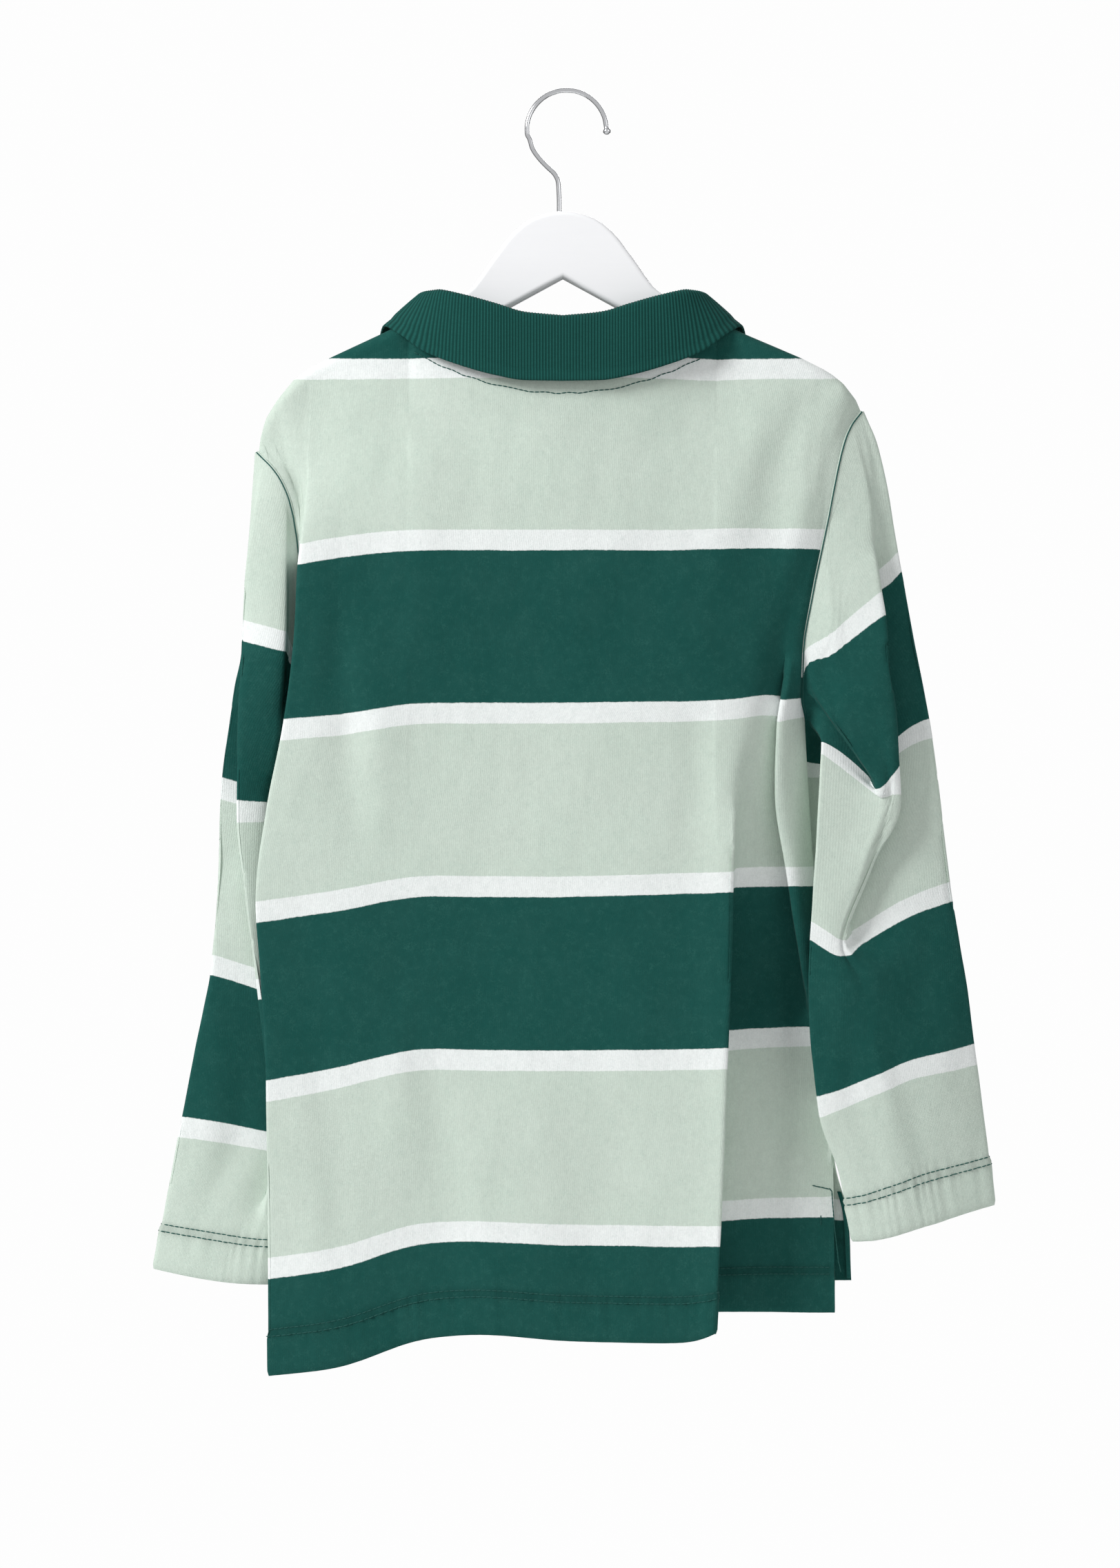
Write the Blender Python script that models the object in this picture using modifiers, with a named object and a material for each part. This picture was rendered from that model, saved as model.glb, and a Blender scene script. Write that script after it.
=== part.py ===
# A child's long-sleeve rugby shirt hanging from a white wooden hanger with a metal hook.
# Frame: origin at the crown of the hook's inside, +Z up, +X to the right when the shirt's
# back is looked at, which faces -Y. Sizes and places below are in millimetres.

import bpy
import bmesh
import math
import numpy as np

MM = 0.001
WALL = 1.5                # knitted cloth
SEAM = 0.3                # free space between two pieces at a seam
TURN_ROOM = 2.3           # half the room between the two layers at a fold's edge
TURN_STEP = 3.0           # cloth taken by a fold's edge where it opens out flat

# The cut
BACK_HEM = 701            # level of the back hem
FRONT_HEM = 683           # the front is cut a little shorter
VENT_TOP = 618            # side vents are open below this level
SLEEVE_LENGTH = 460
NECK_HALF_WIDTH = 88
NECK_TOP = -130
BACK_NECK_DROP = 32
FRONT_NECK_DROP = 78
BACK_NECK_DEPTH = 18
FRONT_NECK_DEPTH = 22
ARM_CLEAR = 7.8           # the neck's edge is this far out where it passes the hanger's arms
ARM_TURN = 1.7
SHOULDER_GAP = 0.6
SLEEVE_GAP = 1.5
SLEEVE_SWELL = 3.0

# The stripes: a broad one, a narrow white one, and so on down the cloth
BROAD = 85.5
NARROW = 11.5
REPEAT = 2 * (BROAD + NARROW)
BODY_WHITE = 248.7        # level of the top of a white stripe that has dark cloth below it
SLEEVE_WHITE = 84.0       # the same on a sleeve, from the shoulder

# The hanger and its hook
HANGER_THICK = 12
HANGER_BEVEL = 2.4
HOOK_WIRE = 1.35
HOOK_RADIUS = 22.5

# The collar: a stand that rises from the neck seam and a fall that turns over it
RIBS = 110
RIB_HEIGHT = 0.35
COLLAR_WALL = 1.6
COLLAR_LIFT = 1.6         # over the hanger's arms the stand is this much above the neck's edge
COLLAR_INSET = 1.3
EDGE_BAND = 8.0           # plain band along the fall's edge
STRIP_WALL = 1.0

# The placket at the front of the neck
BAND_WIDTH = 28
BAND_LENGTH = 136
BAND_WALL = 1.0
BAND_LIFT = 1.6           # from the middle of the front's wall to the middle of the band's
BUTTON_RADIUS = 6.0
BUTTON_THICK = 2.6

COLOURS = {
    "dark": (0.0116, 0.0785, 0.0666),
    "white": (0.83, 0.86, 0.85),
    "pale": (0.58, 0.66, 0.60),
    "paint": (0.90, 0.91, 0.93),
    "chrome": (0.72, 0.73, 0.75),
    "button": (0.86, 0.86, 0.82),
}

# Side seams and armholes. Columns: level down the cloth, distance from the middle, depth,
# how far the cloth hangs below its level, and how much it turns there (+1 where it goes on
# towards the front, -1 where it goes on towards the back).
RIGHT_SIDE = (
    (359, 136, 0, -4, 1), (365, 136.3, 0.2, -4, 1), (443, 141, 2, -5, 1), (520, 147, 2, -10, 1),
    (604, 152.2, 2.9, -12, 1), (612, 152.7, 3, -12, 0.5), (622, 153, 3, -12, 0), (701, 154, 3, -11, 0),
)
RIGHT_VENT = (
    (359, 136, 0, -4, 1), (365, 136.3, 0.2, -4, 1), (443, 141, 2, -5, 1), (520, 147, 2, -10, 1),
    (604, 152.2, 2.9, -12, 1), (612, 152.7, 3, -12, 0.5), (622, 155, 6, -11, 0), (645, 162, 8.5, -9, 0),
    (683, 164, 10, -10, 0),
)
RIGHT_ARMHOLE_BACK = (
    (180, 168, -1.4, 0, 0), (188, 162, -4, 0, 0), (197, 158, -6, 0, 0), (222, 152, -9, 0, 0),
    (244, 148, -10, -1, 0), (282, 140, -10, -1, 0), (321, 134, -9, -2, 0.3), (345, 133.5, -5, -3, 0.8),
)
RIGHT_ARMHOLE_FRONT = (
    (180, 168, 1.4, 0, 0), (188, 162, 5, 0, 0), (197, 158, 7, 0, 0), (222, 152, 9, 0, 0),
    (244, 148, 11, -1, 0), (282, 140, 12, -1, 0), (321, 134, 11, -2, 0.3), (345, 133.5, 6, -3, 0.8),
)
LEFT_SIDE = (
    (366, -150, 3, 9, -1), (372, -149.9, 1.5, 9.2, -1), (400, -149, -4, 10, -1),
    (460, -148, -8, 12, -1), (560, -148, -10, 15, -1),
    (604, -148, -11, 16.5, -1), (620, -148, -11, 17, 0), (701, -150, -12, 18, 0),
)
LEFT_VENT = (
    (366, -150, 3, 9, -1), (372, -149.9, 1.5, 9.2, -1), (400, -149, -4, 10, -1), (460, -148, -8, 12, -1),
    (560, -148, -10, 15, -1), (604, -148, -11, 16.5, -1), (620, -146.8, -9.4, 17, 0),
    (701, -146, -9, 18, 0),
)
LEFT_ARMHOLE_BACK = (
    (203, -172, -1.4, 0, 0), (208, -166, -5, 1, 0), (213, -161.5, -7, 1, 0), (220, -156.5, -8, 2, 0),
    (231, -152, -7.5, 3, 0), (243, -149.5, -6, 4, 0), (255, -148, -4, 5, 0), (295, -147, -2, 7, -0.2),
    (338, -149, 0, 8, -0.7),
)
LEFT_ARMHOLE_FRONT = (
    (203, -172, 1.4, 0, 0), (208, -166, 5, 1, 0), (213, -161.5, 7, 1, 0), (220, -156.5, 9, 2, 0),
    (231, -152, 10, 3, 0), (243, -149.5, 10, 4, 0), (255, -148, 10, 5, 0), (295, -147, 9, 7, -0.2),
    (338, -149, 7, 8, -0.7),
)

# The fold lines of the back between its side seams, from left to right. Each has its share
# of the width and a row for each level, with the columns of the seams above.
BACK_FOLDS = (
    ("left shoulder", 0.05, (
        (150, -160, -8.5, 0, 0), (190, -160, -9, 0, 0), (205, -157, -9.5, 1, 0),
        (220, -151, -9.5, 3, 0), (235, -147, -10, 5, 0), (250, -148.5, -10, 6, 0),
        (300, -149, -9, 8, 0), (346, -152, -8.5, 9, 0), (395, -158, -12, 11, 0),
        (443, -160, -15, 13, 0), (540, -157, -16, 16, 0), (701, -157, -18, 19, 0))),
    ("left edge", 0.10, (
        (150, -143, -7, 0, 0), (203, -145, -10, 2, 0), (235, -143, -16, 6, -0.5),
        (250, -146, -18, 8, -1), (300, -149, -19, 8, -1), (346, -155, -20, 9, -1),
        (395, -165, -21, 12, -1), (443, -171, -22, 14, -1), (485, -168, -22, 15, -1),
        (540, -165, -23, 17, -1), (701, -164, -24, 20, -1))),
    ("left crease", 0.20, (
        (150, -118, -8, 0, 0), (250, -119, -20, 3, 0), (346, -120, -23, 6, 0), (443, -121, -25, 7, 0),
        (540, -122, -26, 9, 0), (701, -122, -28, 15, 0))),
    ("rise", 0.29, (
        (150, -84, -9, 0, 0), (250, -85, -20, 0, 0), (346, -84, -23, 0, 0), (540, -84, -24, -1, 0),
        (701, -83, -25, 0, 0))),
    ("left of middle", 0.39, (
        (150, -45, -15, 0, 0), (250, -45, -20, 0, 0), (540, -45, -25, 0, 0), (701, -45, -29, -4, 0))),
    ("middle", 0.50, (
        (150, 0, -18, 0, 0), (250, 0, -21, 0, 0), (540, 0, -26, 0, 0), (701, 0, -30, 0, 0))),
    ("right of middle", 0.68, (
        (150, 71, -10, 3, 0), (250, 71, -19, 0, 0), (346, 71, -22, -1, 0), (443, 71, -26, -2, 0),
        (540, 71, -30, -1, 0), (701, 72, -33, 1, 0))),
    ("deep fold", 0.75, (
        (150, 97, -8, 1, 0), (250, 97, -18, -1, 0), (346, 96, -20, -2, 0), (400, 96, -24, -3, 0.2),
        (443, 95, -27, -3, 0.6), (500, 93, -30, -3, 1), (540, 91, -31, -2, 1), (637, 87, -33, 0, 1),
        (701, 84, -34, -5, 1))),
    ("deep fold hollow", 0.81, (
        (150, 110, -8, 1, 0), (250, 110, -17, -1, 0), (346, 107, -18, -4, 0), (400, 100, -17, -4, 0.2),
        (443, 96, -15, -5, 0.6), (500, 88, -11, -8, 1), (540, 85, -9, -9, 1), (637, 80, -6, -10, 1),
        (701, 76, -5, -12, 1))),
    ("set back", 0.87, (
        (150, 124, -8, 0, 0), (250, 124, -16, -1, 0), (346, 116, -12, -5, 0), (400, 113, -8, -5, 0),
        (443, 112, -5, -5, 0), (540, 113, -2, -11, 0), (701, 114, 1, -12, 0))),
    ("side fold hollow", 0.91, (
        (150, 142, -8, 0, 0), (250, 137, -14, -1, 0), (320, 124, -10.5, -4, 0),
        (346, 126, -8, -3.5, -0.6), (360, 128, -5, -3, -1), (400, 128, -4, -4, -1),
        (443, 132, -3, -5, -1), (509, 138, -1, -9, -0.8), (550, 138, 0, -12, 0), (620, 138, 2, -12, 0),
        (701, 138, 3, -11, 0))),
    ("side fold", 0.95, (
        (150, 155, -7, 0, 0), (250, 143, -12, -1, 0), (320, 128.5, -13, -3, 0),
        (346, 123.5, -13.5, -2, -0.6), (360, 121, -13, -1, -1), (400, 120, -12, -2, -1),
        (443, 126, -10, -5, -1), (509, 136, -7, -9, -0.8), (550, 143, -2, -12, 0),
        (620, 146, 2, -12, 0), (701, 147, 3, -11, 0))),
    ("right shoulder", 0.975, (
        (150, 161, -8.5, 0, 0), (185, 159, -8.5, 0, 0), (200, 155, -9, 0, 0), (222, 149, -10, 0, 0),
        (250, 145, -11.5, -1, 0), (320, 132, -12, -2, 0), (360, 129, -12, -3, 0),
        (400, 130, -11, -3, 0), (443, 135, -9.5, -5, 0), (509, 142.5, -6, -9, 0),
        (550, 147.5, -2, -12, 0), (620, 150, 2.5, -12, 0), (701, 151, 3, -11, 0))),
)

# The same for the front, from right to left as the back is seen.
FRONT_FOLDS = (
    ("right shoulder", 0.04, (
        (150, 161, 8.5, 0, 0), (185, 159, 8.5, 0, 0), (200, 155, 9, 0, 0), (222, 149, 10, 0, 0),
        (250, 143, 12.5, -1, 0), (320, 129.5, 13.5, -2, 0), (360, 132, 9, -3, 0), (443, 136, 8, -5, 0),
        (540, 141, 8, -9, 0), (618, 148, 9, -11, 0), (683, 154, 10, -10, 0))),
    ("right side", 0.08, (
        (150, 155, 7, 0, 0), (250, 138, 13, -1, 0), (320, 126, 15, -2, 0), (443, 130, 12, -5, 0),
        (540, 134, 12, -8, 0), (683, 142, 12, -10, 0))),
    ("right hollow", 0.19, (
        (150, 122, 8, 0, 0), (250, 118, 17, -1, 0), (346, 108, 19, -2, 0), (400, 100, 17, -3, 0.3),
        (460, 90, 11, -4, 1), (683, 84, 8, -6, 1))),
    ("right fold", 0.28, (
        (150, 103, 8, 1, 0), (250, 100, 18, 0, 0), (346, 98, 22, -1, 0), (400, 97, 26, -2, 0.3),
        (460, 95, 30, -3, 1), (683, 98, 34, -4, 1))),
    ("right of middle", 0.40, (
        (150, 50, 17, 0, 0), (250, 50, 21, 0, 0), (450, 52, 26, 0, 0), (683, 52, 30, 2, 0))),
    ("middle", 0.50, (
        (150, 0, 22, 0, 0), (250, 0, 23, 0, 0), (450, 0, 26, 0, 0), (683, 0, 29, 0, 0))),
    ("left of middle", 0.60, (
        (150, -50, 17, 0, 0), (250, -52, 21, 0, 0), (450, -56, 25, 2, 0), (683, -58, 29, 0, 0))),
    ("left fold", 0.74, (
        (150, -103, 8, 0, 0), (250, -102, 17, 1, 0), (346, -104, 20, 4, 0), (400, -107, 23, 5, -0.3),
        (460, -110, 27, 6, -1), (683, -110, 30, 8, -1))),
    ("left hollow", 0.82, (
        (150, -118, 8, 0, 0), (250, -117, 15, 2, 0), (346, -114, 16, 5, 0), (400, -110, 15, 6, -0.3),
        (460, -104, 9, 7, -1), (683, -98, 8, 10, -1))),
    ("left side", 0.92, (
        (150, -143, 7, 0, 0), (250, -135, 13, 4, 0), (320, -133, 13, 6, 0), (443, -134, 7, 9, 0),
        (560, -132, 5, 12, 0), (683, -130, 5, 14, 0))),
    ("left shoulder", 0.96, (
        (150, -160, 8.5, 0, 0), (190, -160, 9, 0, 0), (205, -157, 9.5, 1, 0), (220, -151, 10, 3, 0),
        (250, -143, 12, 5, 0), (320, -140, 12, 7, 0), (366, -143, 9, 9, 0), (443, -142, 3, 11, 0),
        (560, -141, 1, 13, 0), (683, -141, 0, 15, 0))),
)

# The fold lines of the sleeves, all round from the underarm by the back to the outer edge and
# home by the front. Each has its share of the way round, the side, level and length of the
# armhole where it starts, and a row for each length down the sleeve from the shoulder.
# Columns: length, distance from the middle, depth, height, and how much the cloth turns.
RIGHT_SLEEVE = (
    ("inner edge", 0.00, ("back", 359, 120), (
        (182, 146, -9, -368, -1), (232, 143, -16, -421, -1), (280, 139.5, -18, -470, -1),
        (310, 138, -18, -496, -1), (384, 144, -17, -575, -1), (420, 155, -14, -609, -1),
        (460, 164, -10, -648, -1))),
    ("underarm fold", 0.07, ("back", 352, 113), (
        (150, 149, -9, -350, 0), (182, 159, -12, -373, 0), (232, 153, -18, -428, 0),
        (280, 146, -21, -474, 0), (310, 147, -21, -503, 0), (384, 152, -21, -572, 0),
        (460, 171, -15, -648, 0))),
    ("flap hollow", 0.13, ("back", 343, 106), (
        (140, 164, -10, -352, -0.8), (182, 174, -11, -390, -0.6), (200, 172, -14, -400, 0),
        (232, 161, -18, -432, 0), (280, 150, -21, -477, 0), (310, 153, -22, -506, 0),
        (384, 160, -22, -569, 0), (460, 178, -17, -647, 0))),
    ("flap edge", 0.19, ("back", 336, 98), (
        (140, 157, -16, -365, -1), (182, 177, -16, -394, -0.6), (200, 179, -15, -404, 0),
        (232, 167, -18, -434, 0), (280, 153, -21, -479, 0), (310, 160, -22, -506, 0),
        (384, 168, -22, -565, 0), (460, 185, -18, -645, 0))),
    ("flap", 0.27, ("back", 258, 42), (
        (96, 157, -17, -314, 0), (140, 171, -19, -351, 0), (182, 185, -17, -389, 0),
        (200, 185, -16, -402, 0), (232, 171, -17, -435, 0), (280, 155, -20, -480, 0),
        (310, 168, -20, -503, 0), (384, 179, -21, -561, 0), (460, 192, -18, -643, 0))),
    ("flap crest", 0.36, ("back", 190, 4), (
        (40, 172, -7, -234, 0), (60, 175, -10, -257, 0.4), (84, 178, -12, -283, 0.8),
        (96, 180, -13, -297, 1), (140, 185, -14, -340, 1), (182, 188, -13, -382, 1),
        (194, 189, -12, -399, 1), (232, 174, -14, -436, 1), (280, 158, -18, -480, 0.6),
        (310, 177, -18, -499, 0), (384, 190, -19, -556, 0), (460, 201, -16, -640, 0))),
    ("crest hollow", 0.42, ("back", 185, 2), (
        (40, 174, -4.5, -232, 0), (60, 175, -5.5, -253, 0.3), (84, 169, -6, -276, 0.8),
        (96, 167, -6, -287, 1), (140, 174, -7, -334, 1), (182, 180, -6, -374, 1),
        (194, 178, -5, -385, 1), (232, 158, -7, -425, 1), (280, 161, -11, -477, 0.6),
        (310, 182, -15, -495, 0), (384, 200, -17, -553, 0), (460, 210, -15, -638, 0))),
    ("outer part", 0.49, ("back", 182, 1), (
        (42, 177, -2, -222, 0), (84, 181, -1, -269, 0), (140, 190, -1, -324, 0),
        (188, 196, -1, -364, 0), (232, 189, -3, -410, 0), (286, 193, -8, -462, 0),
        (384, 214, -10, -551, 0), (460, 226, -9, -633, 0))),
    ("outer edge", 0.56, ("back", 180, 0), (
        (23, 177, 1, -201, 0.6), (42, 182, 2, -220, 1), (84, 189, 3, -260, 1), (188, 208, 3, -361, 1),
        (286, 220, 2, -454, 1), (384, 233, 0, -547, 1), (460, 243, -1, -629, 1))),
    ("front outer part", 0.66, ("front", 222, 20), (
        (96, 172, 12, -300, 0), (188, 182, 15, -370, 0), (286, 192, 13, -466, 0),
        (384, 208, 9, -556, 0), (460, 221, 6, -636, 0))),
    ("front crest", 0.78, ("front", 290, 66), (
        (110, 143, 18, -325, 0), (150, 138, 23, -350, -0.6), (188, 128, 25, -383, -1),
        (286, 130, 24, -480, -1), (384, 172, 11, -568, 0), (460, 198, 6, -642, 0))),
    ("front inner part", 0.90, ("front", 336, 100), (
        (150, 149, 12, -366, 0), (188, 151, 9, -384, 0), (232, 152.5, 5, -425, 0),
        (286, 154, 3, -480, 0), (384, 158, 0, -574, 0), (460, 178, 1, -646, 0))),
)
LEFT_SLEEVE = (
    ("inner edge", 0.00, ("back", 366, 120), (
        (138, -158, 4, -380, -0.3), (182, -157, 7, -402, -1), (286, -156, 7, -507, -1),
        (384, -151, 4, -596, -1), (460, -149, 2, -673, -1))),
    ("inner part", 0.06, ("back", 330, 96), (
        (110, -157.5, -1, -347, 0), (140, -163, -1, -370, 0), (188, -163, 0, -408, 0),
        (286, -159, 0, -510, 0), (384, -152, -2, -597, 0), (460, -151, -4, -673, 0))),
    ("near edge", 0.14, ("back", 231, 20), (
        (50, -155, -10, -272, -0.7), (90, -156, -11, -311, -1), (140, -160, -7, -361, -0.6),
        (188, -167, -4, -408, 0), (286, -161, -6, -510, 0), (325, -157, -6.5, -545, 0),
        (384, -154, -6, -597, 0), (460, -156, -7, -673, 0))),
    ("near part", 0.22, ("back", 216, 8), (
        (90, -167, -15, -309, 0), (188, -175, -8, -408, 0), (286, -166, -8, -510, 0),
        (325, -162, -9, -545, 0), (384, -158, -8, -597, 0), (460, -164, -8, -673, 0))),
    ("near crest", 0.30, ("back", 208, 2), (
        (50, -176, -9, -260, 0), (90, -180, -9, -305, 0.5), (140, -182, -7, -350, 1),
        (188, -183, -6, -408, 1), (235, -178, -6, -454, 1), (286, -171, -7, -509, 1),
        (325, -167, -7.5, -545, 1), (384, -164, -7, -597, 0.5), (460, -176, -9, -673, 0))),
    ("near hollow", 0.37, ("back", 205, 1), (
        (50, -176, -5, -259, 0), (90, -178, -4, -303, 0.5), (140, -174, -1, -347, 1),
        (188, -170, 0, -401, 1), (235, -169, 0, -449, 1), (286, -163, -1, -507, 1),
        (325, -160, -1, -544, 1), (384, -161, -2, -597, 0.5), (460, -190, -9, -672, 0))),
    ("outer part", 0.44, ("back", 204, 0), (
        (50, -177, -1, -258, 0), (90, -180, 0, -301, 0), (140, -183, 3, -343, 0),
        (188, -184, 4, -398, 0), (286, -186, 3, -499, 0), (384, -197, -3, -590, 0),
        (460, -211, -7, -669, 0))),
    ("outer edge", 0.52, ("back", 203, 0), (
        (50, -177.5, 4, -258, 0.6), (90, -180.5, 5, -300, 1), (140, -186.5, 7, -341, 1),
        (188, -193.5, 8, -395, 1), (235, -195.5, 8, -443, 1), (286, -198, 8, -496, 1),
        (335, -207, 5, -540, 1), (384, -216.5, 1, -588, 1), (460, -230, -1, -665, 1))),
    ("front outer part", 0.64, ("front", 222, 14), (
        (90, -172, 15, -303, 0), (188, -176, 20, -403, 0), (286, -182, 19, -503, 0),
        (384, -198, 9, -592, 0), (460, -210, 6, -671, 0))),
    ("front crest", 0.78, ("front", 275, 60), (
        (110, -148, 19, -335, 0), (150, -142, 23, -368, -0.6), (188, -130, 25, -408, -1),
        (286, -130, 24, -510, -1), (335, -142, 21, -553, -1), (384, -158, 13, -597, -0.3),
        (460, -185, 5, -673, 0))),
    ("front inner part", 0.90, ("front", 335, 98), (
        (112, -156, 11, -349, 0), (150, -158, 13, -386, 0), (188, -157, 14, -408, 0),
        (286, -155, 14, -509, 0), (384, -152, 9, -597, 0), (460, -165, 3, -673, 0))),
)


def smooth_curve(knots, values, at):
    # A curve through the values at the knots that never overshoots them. Each of the values
    # may itself be an array with a column for each point of at.
    knots = np.asarray(knots, float)
    values = np.asarray(values, float)
    at = np.asarray(at, float)
    step = np.diff(knots).reshape((-1,) + (1,) * (values.ndim - 1))
    slope = np.diff(values, axis=0) / step
    before, after = slope[:-1], slope[1:]
    same_way = before * after > 0
    weight_a = 2 * step[1:] + step[:-1]
    weight_b = step[1:] + 2 * step[:-1]
    safe_before = np.where(same_way, before, 1.0)
    safe_after = np.where(same_way, after, 1.0)
    mean = (weight_a + weight_b) / (weight_a / safe_before + weight_b / safe_after)
    tangent = np.concatenate([slope[:1], np.where(same_way, mean, 0.0), slope[-1:]])
    inside = np.clip(at, knots[0], knots[-1])
    k = np.clip(np.searchsorted(knots, inside, side="right") - 1, 0, len(knots) - 2)
    width = knots[k + 1] - knots[k]
    t = (inside - knots[k]) / width
    pick = (lambda table, row: table[row]) if values.ndim < 3 else (
        lambda table, row: table[row, np.arange(len(at))])
    p0, p1, m0, m1 = pick(values, k), pick(values, k + 1), pick(tangent, k), pick(tangent, k + 1)
    if values.ndim > 1:
        t, width = t[:, None], width[:, None]
    return ((2 * t**3 - 3 * t**2 + 1) * p0 + (t**3 - 2 * t**2 + t) * width * m0
             + (3 * t**2 - 2 * t**3) * p1 + (t**3 - t**2) * width * m1)


def across(shares, rows, share, closed=False):
    # Points between fold lines. rows holds x, y, z, turn and length for each line and point.
    # A line where the cloth turns becomes two, with room between the layers.
    count = len(shares)
    out_shares, out_rows = [], []
    for i in range(count):
        here = rows[i]
        last = rows[(i - 1) % count] if closed or i > 0 else here
        following = rows[(i + 1) % count] if closed or i < count - 1 else here
        turn = np.abs(here[:, 3:4])
        way = following[:, :3] - last[:, :3]
        length = np.maximum(np.linalg.norm(way, axis=1, keepdims=True), 1e-6)
        apart = [np.linalg.norm(here[:, :3] - beside[:, :3], axis=1, keepdims=True)
                 for beside in (last, following) if beside is not here]
        step = np.minimum(TURN_STEP, 0.44 * np.min(apart, axis=0))
        side = np.sign(here[:, 3:4])
        room = (1 - turn) * way / length * step / 2
        room[:, 1:2] += turn * side * TURN_ROOM
        before_gap = (shares[i] - shares[i - 1]) % 1.0 if closed or i > 0 else 1.0
        after_gap = (shares[(i + 1) % count] - shares[i]) % 1.0 if closed or i < count - 1 else 1.0
        part = 0.22 * min(before_gap, after_gap)
        steps = [-1, 1]
        if not closed and i == 0:
            steps = [0, 2]
        if not closed and i == count - 1:
            steps = [-2, 0]
        for k in steps:
            moved = here.copy()
            moved[:, :3] += k * room
            out_shares.append(shares[i] + k * part)
            out_rows.append(moved)
    table = np.array(out_rows)
    spots = np.array(out_shares)
    if closed:
        spots = np.concatenate([spots[-3:] - 1, spots, spots[:3] + 1])
        table = np.concatenate([table[-3:], table, table[:3]])
    return smooth_curve(spots, table, share)


def side_line(armhole, side):
    return tuple(armhole) + tuple(side)


def front_side(side):
    # The front's side edge starts where the back's ends, across the seam.
    return tuple((level, x, y + 1.5 * SEAM, hang, turn) for level, x, y, hang, turn in side)


def panel_point(lines, share, level):
    # Places on a body panel at the given shares of its width and levels.
    rows = []
    for name, place, table in lines:
        table = np.array(table, float)
        found = smooth_curve(table[:, 0], table[:, 1:], level)
        rows.append(np.column_stack([
            found[:, 0], found[:, 1], -(level + found[:, 2]), np.clip(found[:, 3], -1, 1), level]))
    return across([place for name, place, table in lines], rows, share)[:, [0, 1, 2, 4]]


def shoulder_height(x):
    # The line of the shoulders and neck over the hanger, from the left tip to the right one.
    line = ((-172, -203), (-171, -196), (-168, -185), (-162, -175), (-152, -163), (-143, -156),
            (-129, -149.5), (-101, -136.5), (-88, -130), (88, -130), (101, -136.5),
            (134, -150.5), (150, -158.5), (158, -165), (165, -173.5), (168, -180))
    line = np.array(line, float)
    return np.interp(x, line[:, 0], line[:, 1])


def neck_place(x, side):
    # Depth and height of the neck's edge. It first goes round the hanger's arm and then dips.
    x = np.abs(np.asarray(x, float))
    depth = BACK_NECK_DEPTH if side < 0 else FRONT_NECK_DEPTH
    drop = BACK_NECK_DROP if side < 0 else FRONT_NECK_DROP
    round_arm = np.clip((NECK_HALF_WIDTH - x) / ARM_TURN, 0, 1)
    oval = np.sqrt(np.clip(1 - (x / (NECK_HALF_WIDTH - ARM_TURN)) ** 2, 0, 1))
    dip = oval if side < 0 else oval ** 1.4
    y = side * (ARM_CLEAR * round_arm + (depth - ARM_CLEAR) * oval)
    return y, NECK_TOP - round_arm - (drop - 1) * dip


def panel_places(lines, share, level, top, side):
    # Over the hanger's arms the cloth rounds from the shoulder seam down onto its face.
    place = panel_point(lines, share, level)
    x_top = panel_point(lines, share, np.full(len(share), 150.0))[:, 0]
    if level[0] < UPPER_END:
        x_low = panel_point(lines, share, np.full(len(share), UPPER_END))[:, 0]
        down = (level - top) / (UPPER_END - top)
        straight = x_top + (x_low - x_top) * down
        bend = np.array([(place[end, 0] - straight[end]) for end in (0, -1)])
        near = np.array([np.clip(1 - share / 0.15, 0, 1), np.clip(1 - (1 - share) / 0.15, 0, 1)])
        place[:, 0] = straight + bend[0] * near[0] + bend[1] * near[1]
    hang = -place[:, 2] - level
    kept = np.maximum(np.clip((level - top) / 50, 0, 1), np.clip((np.abs(x_top) - 140) / 15, 0, 1))
    place[:, 2] = -level - hang * kept
    beside_neck = 1 - np.clip((NECK_HALF_WIDTH - np.abs(x_top)) / ARM_TURN, 0, 1)
    down = np.clip((level - top) / 8.0, 0, 1)
    rounded = (1 - (1 - down) ** 3) ** 0.4
    seam = side * (SHOULDER_GAP + 0.8 * np.clip((np.abs(x_top) - 145) / 15, 0, 1))
    place[:, 1] += beside_neck * (1 - rounded) * (seam - place[:, 1])
    at_neck = (1 - beside_neck) * np.clip(1 - (level - top) / 60, 0, 1)
    place[:, 1] += at_neck * (neck_place(x_top, side)[0] - place[:, 1])
    return place


def panel_top(lines, share, side):
    # The level of a panel's top edge: its neckline in the middle and the shoulders beside it.
    x = panel_point(lines, share, np.full(len(share), 150.0))[:, 0]
    return -np.where(np.abs(x) < NECK_HALF_WIDTH, neck_place(x, side)[1], shoulder_height(x)) + SEAM


def column_shares(places, closed, step):
    # Columns at both edges of each fold line, and between them at most a step apart.
    count = len(places)
    marks = []
    for i in range(count):
        before_gap = (places[i] - places[i - 1]) % 1.0 if closed or i > 0 else 1.0
        after_gap = (places[(i + 1) % count] - places[i]) % 1.0 if closed or i < count - 1 else 1.0
        part = 0.22 * min(before_gap, after_gap)
        if closed or 0 < i < count - 1:
            marks += [places[i] - part, places[i] + part]
        elif i == 0:
            marks += [places[i], places[i] + 2 * part]
        else:
            marks += [places[i] - 2 * part, places[i]]
    shares = []
    ends = marks[1:] + [marks[0] + 1] if closed else marks[1:]
    for start, end in zip(marks, ends):
        pieces = max(1, round((end - start) / step))
        shares += [start + (end - start) * k / pieces for k in range(pieces)]
    if not closed:
        shares.append(marks[-1])
    return np.array(shares)


def stripe_of(length, first_white):
    # 0 dark, 1 white, 2 pale
    at = (length - first_white) % REPEAT
    if at < NARROW or NARROW + BROAD <= at < REPEAT - BROAD:
        return 1
    return 0 if at < NARROW + BROAD else 2


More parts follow.
